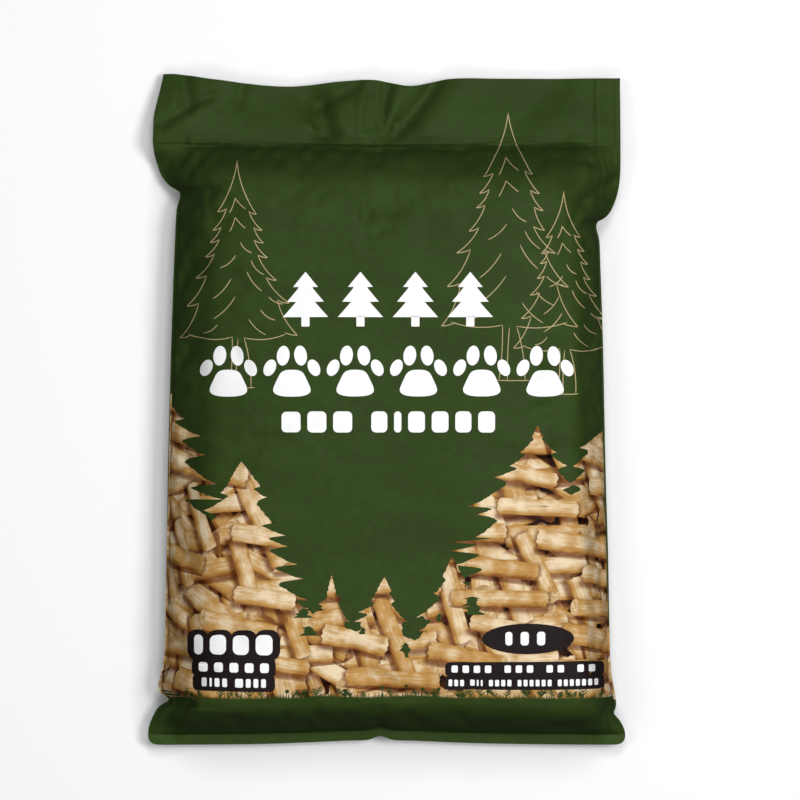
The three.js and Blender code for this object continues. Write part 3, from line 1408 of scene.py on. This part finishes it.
@dataclass(frozen=True)
class PelletLayer:
    """Sizes of one scatter of pressed pellets in the printed picture, in millimetres."""

    cell_length: float = 76.0
    cell_width: float = 20.5
    half_lengths: tuple[float, float] = (18.0, 34.0)
    half_widths: tuple[float, float] = (5.4, 7.4)
    tilt: float = 0.26
    filled: float = 0.8
    shadow_reach: float = 3.6
    shade_colour: Colour = (0.21, 0.07, 0.012, 1)
    straw_colour: Colour = (0.47, 0.255, 0.07, 1)
    light_colour: Colour = (0.77, 0.62, 0.41, 1)
    end_colours: tuple[Colour, Colour] = ((0.42, 0.24, 0.08, 1), (0.72, 0.53, 0.3, 1))
    shadow_colour: Colour = (0.23, 0.075, 0.022, 1)

    def group(self) -> bpy.types.NodeTree:
        """One scatter laid over what is below it.

        The plane is turned and cut into staggered cells. Each holds one pellet of its own length,
        width and tilt: a bar shaded as a cylinder is across its width, streaked along its length,
        with a flat round end. It darkens what lies just under it.

        Returns:
            A group that takes the place, a turn, a seed and the colour below.
        """
        graph, given, out = new_group(
            "pellet_layer",
            {
                "Place": (VECTOR, (0, 0, 0)),
                "Turn": (FLOAT, 0.0),
                "Seed": (FLOAT, 0.0),
                "Below": (COLOUR, GAP_BROWN),
            },
            {"Colour": COLOUR},
        )
        along, across, rolls = self.in_pellet(graph, given)
        one, _, three, four, five, _ = rolls
        (short, long), (thin, thick) = self.half_lengths, self.half_widths
        half_length = graph.fitted(four, long - short, short)
        half_width = graph.fitted(five, thick - thin, thin)
        ragged = graph.noise(graph.vector(across, given["Seed"], four), 0.26, 2.0, 0.45)
        past_end = graph.sum(
            graph.minus(graph.size(along), half_length), graph.fitted(ragged, 5.0, -2.5)
        )
        past_side = graph.minus(graph.size(across), half_width)
        outside = graph.math("SMOOTH_MAX", past_end, past_side, 3.0)
        bar = graph.ramp(outside, -0.35, 0.35, 1.0, 0.0)

        over_width = graph.over(across, half_width)
        end_at = graph.minus(graph.times(along, self.end_side(graph, rolls)), half_length)
        end_run = graph.times(half_width, graph.fitted(one, 0.55, 0.3))
        past_face = graph.over(end_at, end_run)
        disc = self.end_face(graph, past_face, over_width, rolls)
        grain = graph.vector(along, across, graph.times(four, 50.0))
        wood = self.wood(graph, grain, over_width, rolls)
        wood = graph.mix(disc, wood, self.cut_end(graph, grain, past_face))

        under = graph.minus(graph.size(graph.sum(across, 2.2)), half_width)
        near = graph.math("SMOOTH_MAX", past_end, under, 3.0)
        here = graph.math("LESS_THAN", three, self.filled)
        shadow = graph.times(graph.ramp(near, self.shadow_reach, -0.6, 0.0, 0.82), here)
        below = graph.mix(shadow, given["Below"], self.shadow_colour, "MULTIPLY")
        cover = graph.times(graph.math("MAXIMUM", bar, disc), here)
        graph.feed(out["Colour"], graph.mix(cover, below, wood))
        return graph.tree

    def in_pellet(self, graph: Graph, given: Sockets) -> tuple[Value, Value, tuple[Value, ...]]:
        """The place along and across a cell's own pellet, and the cell's six random numbers.

        Args:
            graph: The group's graph.
            given: The group's inputs.

        Returns:
            The two places in millimetres, and the random numbers.
        """
        seed = given["Seed"]
        x, y, _ = graph.parts(graph.turn(given["Place"], given["Turn"]))
        y = graph.sum(y, graph.times(seed, 11.3))
        row = graph.math("FLOOR", graph.over(y, self.cell_width))
        stagger, _, _ = graph.dice(graph.vector(row, seed, 3.7))
        x = graph.sum(x, graph.times(stagger, self.cell_length))
        column = graph.math("FLOOR", graph.over(x, self.cell_length))
        rolls = (
            *graph.dice(graph.vector(row, column, seed)),
            *graph.dice(graph.vector(column, graph.sum(row, 41.5), seed)),
        )
        local = graph.vector(
            self.from_middle(graph, x, column, self.cell_length, rolls[0], 9.0),
            self.from_middle(graph, y, row, self.cell_width, rolls[1], 3.0),
        )
        local = graph.turn(local, graph.fitted(rolls[2], self.tilt * 1.25, -self.tilt / 2))
        along, across, _ = graph.parts(local)
        return along, across, rolls

    @staticmethod
    def from_middle(
        graph: Graph, place: Value, cell: Value, size: float, roll: Value, loose: float
    ) -> Value:
        """The distance from a cell's middle, moved at random by up to half of loose."""
        middle = graph.times(graph.sum(cell, 0.5), size)
        return graph.minus(graph.minus(place, middle), graph.fitted(roll, loose, -loose / 2))

    @staticmethod
    def end_side(graph: Graph, rolls: tuple[Value, ...]) -> Value:
        """Which end of a pellet shows its face: 1 or -1 by chance."""
        return graph.math("SIGN", graph.minus(rolls[5], 0.5))

    @staticmethod
    def end_face(graph: Graph, x: Value, y: Value, rolls: tuple[Value, ...]) -> Value:
        """The mask of a pellet's round end, the inside of a unit circle, on about half of them."""
        inside = graph.ramp(graph.fitted(x, x, graph.times(y, y)), 0.95, 1.05, 1.0, 0.0)
        seen = graph.math("GREATER_THAN", graph.size(graph.minus(rolls[5], 0.5)), 0.27)
        return graph.times(inside, seen)

    def wood(self, graph: Graph, grain: Value, y: Value, rolls: tuple[Value, ...]) -> Value:
        """The colour along a pellet: a rounded light across it, with streaks and blotches.

        Args:
            graph: The group's graph.
            grain: The place in the pellet, with a third part of its own.
            y: The place across, in half widths.
            rolls: The cell's random numbers.

        Returns:
            The colour.
        """
        lit = graph.over(graph.sum(y, -0.3), 1.3)
        crown = graph.minus(1.0, graph.times(lit, lit))
        streaks = graph.noise(graph.scaled(grain, 0.07, 0.7), 1.0, 3.0, 0.6)
        blotch = graph.noise(grain, 0.075, 3.0)
        light = graph.sum(
            graph.times(crown, 0.62),
            graph.fitted(streaks, 0.6, -0.3),
            graph.fitted(blotch, 1.3, -0.65),
            graph.fitted(rolls[1], 0.26, -0.02),
        )
        wood = graph.mix(graph.ramp(light, 0.0, 0.5), self.shade_colour, self.straw_colour)
        return graph.mix(graph.ramp(light, 0.42, 0.95), wood, self.light_colour)

    def cut_end(self, graph: Graph, grain: Value, x: Value) -> Value:
        """The colour of a pellet's end: pale and speckled, darker on its far side."""
        speckle = graph.noise(grain, 0.6, 3.0, 0.7)
        pale = graph.mix(graph.ramp(speckle, 0.3, 0.7), *self.end_colours)
        return graph.mix(graph.ramp(x, -0.2, -1.3, 0.0, 0.6), pale, self.shade_colour)


# ---------------------------------------------------------------------------------------------
# Finishes
# ---------------------------------------------------------------------------------------------


@dataclass(frozen=True)
class Finish:
    """A printed finish: film or ink of one colour, with the film's own grain under it.

    The tone is the power that the painted shade and light of the film's creases are raised to in the
    ink's colour.
    """

    name: str
    slot: str
    colour: Colour
    bump: float = 0.3
    tone: float = 1.0
    crinkle: float = 1.0
    roughness: float = 0.5
    specular: float = 0.05

    def colour_of(self, graph: Graph, place: Value, tone: Value) -> Value:
        """The colour over the surface: the ink's own, with painted shade and light from the film's
        creases.
        """
        shade = graph.node("ShaderNodeVectorMath", operation="SCALE")
        shade.inputs[0].default_value = self.colour[:3]
        graph.feed(shade.inputs["Scale"], graph.math("POWER", tone, self.tone))
        return shade.outputs[0]

    def material(self) -> bpy.types.Material:
        """The finish's material."""
        made = bpy.data.materials.new(self.name)
        made.use_nodes = True
        graph = Graph(made.node_tree)
        shader = made.node_tree.nodes["Principled BSDF"]
        shader.inputs["Specular IOR Level"].default_value = self.specular
        place = graph.film_place()
        grain = graph.group(shared_group("film_grain"), Place=place, Crinkle=self.crinkle)
        # the painted shade and light of the creases goes into the base colour
        graph.feed(shader.inputs["Base Color"], self.colour_of(graph, place, grain.outputs["Crease shade"]))
        graph.feed(shader.inputs["Roughness"], graph.sum(grain.outputs["Gloss"], self.roughness))
        bump = graph.node("ShaderNodeBump")
        bump.inputs["Strength"].default_value = self.bump
        bump.inputs["Distance"].default_value = MM
        graph.feed(bump.inputs["Height"], grain.outputs["Height"])
        graph.feed(shader.inputs["Normal"], bump.outputs[0])
        return made

    def dress(self, piece: bpy.types.Object) -> None:
        """Gives a piece this finish and fixes it to the bag."""
        piece.data.materials.append(bpy.data.materials.get(self.name) or self.material())
        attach(piece, BODY)


@dataclass(frozen=True)
class FootWeldLitFilm(Finish):
    """The film itself, with painted light on the foot weld strip: its colour is made lighter there, where
    the bulk of the bag keeps the lamps off it.
    """

    weld: tuple[float, float] = (7.2, 8.4)
    # painted light: how much lighter the foot weld strip's colour is made
    painted_light: float = 1.3

    def colour_of(self, graph: Graph, place: Value, tone: Value) -> Value:
        """The colour over the surface: the film's own, times a smooth step at the weld's edge that paints
        light on the strip below it.
        """
        _, run, _ = graph.parts(place)
        # painted light on the foot weld strip, fading out at its edge
        painted_light_step = graph.ramp(run, *self.weld, self.painted_light, 1.0)
        return super().colour_of(graph, place, graph.times(tone, painted_light_step))


@dataclass(frozen=True)
class PelletPicture(Finish):
    """The printed picture of a heap of pellets: scatters laid one over another."""

    turns: tuple[float, ...] = (0.9, -0.75, 0.15, 1.4, -0.35, 0.5, -0.1, 1.25, 0.12)

    def colour_of(self, graph: Graph, place: Value, tone: Value) -> Value:
        """The colour over the surface: each scatter over the one before, from dark gaps up.

        Args:
            graph: The material's graph.
            place: The place on the flat film, in millimetres.
            tone: The painted shade and light of the film's creases, which the picture leaves out.

        Returns:
            The colour.
        """
        tree = shared_group("pellet_layer")
        colour: Value = self.colour
        for number, turn in enumerate(self.turns, start=1):
            layer = graph.group(tree, Place=place, Turn=turn, Seed=float(number), Below=colour)
            colour = layer.outputs["Colour"]
        return colour


def shared_group(name: str) -> bpy.types.NodeTree:
    """A shader group that several materials use, made when it is first asked for."""
    if name not in bpy.data.node_groups:
        {"film_grain": film_grain_group, "pellet_layer": PelletLayer().group}[name]()
    return bpy.data.node_groups[name]


GREEN: Colour = (0.0285, 0.0515, 0.0105, 1)
FILM_FINISH = FootWeldLitFilm("green_film", "film", GREEN, bump=0.4)
GREEN_INK = Finish("green_ink", "film", GREEN, bump=0.4)
WHITE_INK = Finish("white_ink", "white_ink", (0.88, 0.88, 0.88, 1), tone=0.3)
TAN_INK = Finish("tan_ink", "tan_ink", (0.43, 0.34, 0.18, 1))
BLACK_INK = Finish("black_ink", "black_ink", (0.014, 0.009, 0.009, 1))
PELLET_INK = PelletPicture("pellet_print", "pellet_print", GAP_BROWN)


# ---------------------------------------------------------------------------------------------
# The print
# ---------------------------------------------------------------------------------------------


@dataclass
class PelletScene:
    """The foot of the front: pellets cut out as a line of firs over a fringe of grass."""

    film: Film
    floor: float = 33.0
    edge: float = 156.0
    straight_half: float = 120.0
    planted_half: float = 148.0
    sprigs: int = 46
    seed_heads: int = 10

    @staticmethod
    def firs() -> tuple[FirShape, ...]:
        """The large firs at the sides and the small ones in the middle."""
        far_left = FirShape(
            (-153.9, 242),
            ((20, 5), (60, 8)),
            ((16.6, 15.5), (28.3, 27), (41, 29.4), (61.4, 38.4), (72, 42.3)),
            notch=0.6,
        )
        left = FirShape(
            (-99.5, 195.5),
            ((21, 14), (33, 26), (52, 44)),
            (
                *((16.5, 14.5), (24, 17), (41.4, 23), (50, 31), (57.3, 32)),
                *((69.7, 38), (79.4, 42), (94, 46), (100, 50.5)),
            ),
            low=40,
        )
        small = (
            FirShape(
                (-37.7, 118),
                ((13, 3.6), (19, 9.5), (27, 15)),
                ((12, 3.4), (15.5, 7), (31, 12)),
                low=60,
            ),
            FirShape(
                (-1.6, 117),
                ((16.3, 10), (23.5, 18.5), (30, 21.5)),
                ((9, 5), (15.5, 7), (30, 16)),
                low=60,
            ),
            FirShape(
                (44.7, 131),
                ((13, 7), (25, 12.5), (41, 25), (50.5, 23.5)),
                ((14, 8), (28, 30)),
                low=60,
            ),
        )
        right = FirShape(
            (103, 220),
            (
                *((6.7, 4), (17.5, 12), (27, 19.8), (34.7, 30), (54.5, 47.8), (60, 42)),
                *((75.6, 43), (79, 62.7), (85, 61), (94.5, 57), (106, 59)),
            ),
            ((6.7, 4), (17.5, 12.5), (26.5, 20.3), (40, 24), (60, 60)),
            low=40,
            notch=0.42,
        )
        far_right = FirShape(
            (148, 217),
            ((11.4, 16.5), (24, 21.5), (36, 24), (52, 40)),
            ((20, 5), (60, 8)),
            low=60,
        )
        return far_left, left, *small, right, far_right

    @staticmethod
    def islands() -> tuple[FirShape, ...]:
        """Small green firs that show in front of the pellets."""
        shape = ((2.2, 3.5), (4.2, 6.5), (6.5, 7.5))
        other = ((1.4, 5.5), (3.6, 4), (6.4, 8))
        return (
            FirShape((-57, 96), shape, other),
            FirShape((-53, 84), other, shape),
            FirShape((-16.5, 83.5), ((1.5, 1.6), (4, 3)), ((2, 2.4), (5, 2))),
            FirShape((58, 104), other, ((1.2, 6.5), (3, 4.5))),
            FirShape((60, 98.5), ((2.5, 8.5), (7, 6)), other),
            FirShape((24, 91), ((1.6, 4.4), (3.6, 2.5)), ((1.4, 2.5), (3, 4))),
            FirShape((36, 92.5), ((2, 3), (5, 2)), ((1.5, 1.8), (5.4, 1))),
            FirShape((13, 73), ((2.5, 3.4), (5.5, 5), (7, 1)), ((2.2, 2.4), (4.8, 4), (10, 1.5))),
        )

    def skyline(self, s: Array) -> Array:
        """The top of the heap between the firs: it dips to the middle and is ragged."""
        knots = (-156, -149, -135, -122, -104, -62, -42, -20, 2, 18, 32, 48, 90, 156)
        tops = (180, 178, 166, 158, 135, 100, 86, 80, 82, 74, 79, 92, 118, 175)
        ragged = np.abs(np.sin(s / 2.3) * np.sin(s / 3.7 + 1) * np.sin(s / 11 + 2))
        return np.interp(s, knots, tops) + 4 * ragged

    def heap(self) -> bpy.types.Object:
        """The pellets: the heap as columns up to its skyline, and each fir as rows.

        Past the straight part of the heap the columns spread evenly out to the film's outline.
        """
        spread = self.edge - 6
        s = np.concatenate([np.arange(-spread, spread, 0.8), [spread]])
        part = np.linspace(0, 1, 60)[:, None]
        t = self.floor + (self.skyline(s) - self.floor) * part
        wide = self.film.print_limit(t, np.broadcast_to(s, t.shape))
        straight = self.straight_half
        out = (np.abs(s) - straight) * (wide - straight) / (spread - straight)
        across = np.where(np.abs(s) > straight, np.sign(s) * (straight + out), s)
        band = np.stack([across, t], axis=-1)
        firs = [fir.patch(self.film) for fir in self.firs()]
        return self.film.lay("pellet_print", [band, *firs], 0.10, 0.012)

    def greenery(self) -> bpy.types.Object:
        """The green that lies over the pellets: grass, sprigs, seed heads and small firs."""
        shuffle = np.random.default_rng(7)
        s = np.arange(-self.edge, self.edge + 0.3, 0.55) * 0.995
        spikes = shuffle.uniform(1.2, 4.8, len(s)) * (np.arange(len(s)) % 2)
        t = np.stack([np.full(len(s), 29.0), np.full(len(s), 33.2), 34.2 + spikes])
        grass = np.stack([np.broadcast_to(s, t.shape), t], axis=-1)
        patches = [grass]
        for at in shuffle.uniform(-self.planted_half, self.planted_half, self.sprigs):
            patches += self.sprig(at, shuffle)
        for at in shuffle.uniform(-self.planted_half, self.planted_half, self.seed_heads):
            top = shuffle.uniform(39, 43)
            patches.append(ribbon(bent((at, self.floor), (at, top), 0.4), 0.5))
            patches.append(moved(oval(1.4, 1.3), (at, top)))
        patches += [island.patch(self.film, 0.8) for island in self.islands()]
        return self.film.lay("grass_fringe", patches, 0.22)

    def sprig(self, at: float, shuffle: np.random.Generator) -> list[Array]:
        """A small leaning plant: a bowed stem with pairs of leaves that shorten to the tip.

        Args:
            at: Where its foot is.
            shuffle: The random numbers.

        Returns:
            The strokes' patches.
        """
        lean, tall = shuffle.uniform(-0.7, 0.7), shuffle.uniform(5.5, 10.5)
        foot = np.array([at, self.floor])
        tip = foot + (lean * tall, tall)
        strokes = [ribbon(bent(foot, tip, 0.8 * lean), 0.5)]
        for part in (0.35, 0.55, 0.75):
            root = foot + part * (tip - foot)
            for sign in (-1, 1):
                leaf = root + (1.2 - part) * tall * 0.45 * np.array([sign * 0.9 + lean * 0.4, 0.8])
                strokes.append(ribbon(bent(root, leaf, 0.2 * sign), 0.75))
        return strokes

    def build(self) -> list[bpy.types.Object]:
        """Makes and dresses the scene's pieces."""
        heap, green = self.heap(), self.greenery()
        PELLET_INK.dress(heap)
        GREEN_INK.dress(green)
        return [heap, green]


@dataclass
class Sketches:
    """The firs drawn in tan line beside the titles."""

    film: Film
    firs: dict[str, FirSketch] = field(
        default_factory=lambda: {
            "left_fir_lines": FirSketch((-102.3, 401.5), 124, 40, 31, seed=3),
            "tall_fir_lines": FirSketch((82.8, 436.5), 152, 48, 33, seed=5),
            "right_fir_lines": FirSketch((120.7, 380.2), 110, 34, 28, seed=8),
        }
    )

    def build(self) -> list[bpy.types.Object]:
        """Makes and dresses each fir, the right one over the tall one."""
        made = []
        for number, (name, sketch) in enumerate(self.firs.items()):
            piece = self.film.lay(name, sketch.patches(), 0.18 + 0.02 * number)
            TAN_INK.dress(piece)
            made.append(piece)
        return made


@dataclass
class Titles:
    """The white shapes in the middle of the front."""

    film: Film
    lift: float = 0.26
    icon_centres: tuple[float, ...] = (-55.5, -18.0, 19.5, 57.0)
    icon_top: float = 325.0
    paw_pitch: float = 43.2
    paw_station: float = 258.5
    caption_station: float = 223.0

    def fir_icons(self) -> list[Array]:
        """Four plain firs, each three tiers over a short trunk."""
        patches = []
        boughs = ((10, 8.5), (20, 12.5), (30.5, 15.5))
        plain = {"swell": 1.0, "flick": 0.0, "fall": 0.01, "ragged": 0.0}
        for s in self.icon_centres:
            fir = FirShape((s, self.icon_top), boughs, boughs, **plain)
            patches.append(fir.patch(self.film, 1.6))
            patches.append(moved(plate(5.6, 7.4, 0.6), (s, self.icon_top - 33.2)))
        return patches

    def paws(self) -> list[Array]:
        """Six paw prints in a row."""
        places = (np.arange(6) - 2.5) * self.paw_pitch
        return [moved(part, (s, self.paw_station), 1.06) for s in places for part in paw()]

    def caption(self) -> list[Array]:
        """A line of plain blocks in two groups."""
        blocks = marks(((13, 13, 13), (11, 5, 11.5, 11.5, 11, 11.5)), 14.4, 4.6, 13, 3.2)
        return [moved(block, (1, self.caption_station)) for block in blocks]

    def build(self) -> list[bpy.types.Object]:
        """Makes and dresses the three rows."""
        rows = {
            "fir_icons": self.fir_icons(),
            "paw_icons": self.paws(),
            "caption_blocks": self.caption(),
        }
        made = [self.film.lay(name, patches, self.lift) for name, patches in rows.items()]
        for piece in made:
            WHITE_INK.dress(piece)
        return made


@dataclass
class Badges:
    """The black plates over the pellets, with plain white blocks where words would be."""

    film: Film
    lift: float = 0.34
    mark_lift: float = 0.46

    def left(self) -> tuple[list[Array], list[Array]]:
        """The left plate: a scalloped row over two plain rows, and the blocks on them."""
        plates = [moved(plate(56, 14, 3.5), (-104.3, t)) for t in (71, 58)]
        scallops = ((-128.5, 15), (-114, 18.5), (-97.5, 18.5), (-81.5, 17.5))
        plates += [moved(plate(wide, 20.6, 6.5), (s, 71)) for s, wide in scallops]
        plates += [moved(plate(57, 12, 3.5), (-104.3, 55.4)), moved(plate(56, 11.5, 3.5), (-104.3, 45.4))]
        blocks = marks(((6, 11, 11, 11.5),), 13.6, 4.6, 0, 3.8)
        blocks = [moved(block, (-104.6, 71)) for block in blocks]
        blocks += [moved(b, (-104.3, 55.6)) for b in marks(((6,) * 5,), 6.4, 4.4, 0, 1.6)]
        words = ((3.4, 1.5, 3.3, 3.3), (5.4, 3.3, 3.3, 3.3))
        blocks += [moved(b, (-104.3, 45.4)) for b in marks(words, 5.8, 1.9, 5.4, 1.0)]
        return plates, blocks

    def oval(self) -> tuple[list[Array], list[Array]]:
        """The oval plate and three short bars."""
        blocks = marks(((4.8, 5.6, 5.6),), 9.2, 5.6, 0, 2.0)
        return [moved(oval(31.5, 10.4), (96.3, 75.2))], [moved(b, (94.5, 75.4)) for b in blocks]

    def right(self) -> tuple[list[Array], list[Array]]:
        """The long plate of two rows and the blocks on it."""
        plates = [moved(plate(108.6, 9.8, 3), (94, t)) for t in (54.8, 45.6)]
        upper = ((4.4,) * 4, (4.4,) * 3, (4.4,) * 2, (4.4,) * 2)
        lower = ((2.6,) * 3, (3.2, 1.3, 1.3), (2.8,) * 4, (2.7,) * 6, (2.7,) * 7)
        blocks = [moved(b, (93, 54.9)) for b in marks(upper, 5.0, 3.2, 9.0, 1.0)]
        blocks += [moved(b, (93, 45.4)) for b in marks(lower, 4.4, 1.4, 4.2, 0.7)]
        return plates, blocks

    def build(self) -> list[bpy.types.Object]:
        """Makes and dresses each plate and its blocks."""
        made = []
        badges = {
            "left_badge": self.left(),
            "oval_badge": self.oval(),
            "right_badge": self.right(),
        }
        for name, (plates, blocks) in badges.items():
            black = self.film.lay(name, plates, self.lift, 0.008)
            white = self.film.lay(f"{name}_marks", blocks, self.mark_lift)
            BLACK_INK.dress(black)
            WHITE_INK.dress(white)
            made += [black, white]
        return made


# ---------------------------------------------------------------------------------------------
# The studio
# ---------------------------------------------------------------------------------------------


@dataclass(frozen=True)
class Studio:
    """A camera over the bag, a pale floor and soft light from above."""

    distance: float = 2.6
    view_width: float = 0.552
    aim: tuple[float, float] = (0.009, 0.0062)
    floor_tone: Colour = (0.92, 0.92, 0.92, 1)

    def camera(self) -> None:
        """Looks straight down at the bag's front through a long lens."""
        data = bpy.data.cameras.new("camera")
        data.sensor_width = 36.0
        data.lens = data.sensor_width * self.distance / self.view_width
        made = bpy.data.objects.new("camera", data)
        low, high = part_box(NODE)
        middle = (low + high) / 2
        made.location = (middle.x + self.aim[0], middle.y + self.aim[1], low.z + self.distance)
        bpy.context.scene.collection.objects.link(made)
        bpy.context.scene.camera = made

    def floor(self) -> None:
        """A wide plain floor under the bag."""
        low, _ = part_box(NODE)
        mesh = bpy.data.meshes.new("floor")
        reach = 6.0
        corners = [(-reach, -reach), (reach, -reach), (reach, reach), (-reach, reach)]
        mesh.from_pydata([(x, y, low.z - 0.0004) for x, y in corners], [], [(0, 1, 2, 3)])
        made = bpy.data.objects.new("floor", mesh)
        paint = bpy.data.materials.new("floor")
        paint.use_nodes = True
        shader = paint.node_tree.nodes["Principled BSDF"]
        shader.inputs["Base Color"].default_value = self.floor_tone
        shader.inputs["Roughness"].default_value = 0.9
        shader.inputs["Specular IOR Level"].default_value = 0.1
        mesh.materials.append(paint)
        made.visible_diffuse = made.visible_glossy = False
        bpy.context.scene.collection.objects.link(made)

    @staticmethod
    def light(name: str, place: tuple[float, float, float], size: float, power: float) -> None:
        """A square soft light that faces the bag.

        Args:
            name: Its name.
            place: Where it hangs, in metres.
            size: The length of its side.
            power: Its power in watts.
        """
        data = bpy.data.lights.new(name, "AREA")
        data.size = size
        data.energy = power
        made = bpy.data.objects.new(name, data)
        made.location = place
        made.rotation_euler = (-Vector(place)).to_track_quat("-Z", "Y").to_euler()
        bpy.context.scene.collection.objects.link(made)

    def lights(self) -> None:
        """Four soft lights round the camera, strongest on the right, and a dim pale sky."""
        for name, x, y, power in (
            ("right", 1.0, 0.15, 29.0),
            ("left", -1.0, 0.1, 7.5),
            ("head", 0.1, 1.0, 17.0),
            ("foot", 0.1, -1.0, 9.0),
        ):
            self.light(name, (x, y, 2.1), 0.7, power)
        world = bpy.data.worlds.new("sky")
        world.use_nodes = True
        sky = world.node_tree.nodes["Background"]
        sky.inputs["Color"].default_value = (0.95, 0.97, 1, 1)
        sky.inputs["Strength"].default_value = 0.08
        bpy.context.scene.world = world
        bpy.context.scene.view_settings.view_transform = "Standard"

    def build(self) -> None:
        """Sets up the whole studio."""
        self.camera()
        self.floor()
        self.lights()


def count_faces(piece: bpy.types.Object) -> int:
    """How many triangles a piece has."""
    piece.data.calc_loop_triangles()
    return len(piece.data.loop_triangles)


def main() -> None:
    """Builds the studio, the film and its print, and reports each piece."""
    logging.basicConfig(level=logging.INFO, format="%(name)s: %(message)s")
    Studio().build()
    film = Film()
    bag = film.build()
    FILM_FINISH.dress(bag)
    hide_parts(NODE)
    pieces = [bag]
    for part in (PelletScene(film), Sketches(film), Titles(film), Badges(film)):
        pieces += part.build()
    for piece in pieces:
        log.info("%s: %d triangles", piece.name, count_faces(piece))


if __name__ == "__main__":
    main()
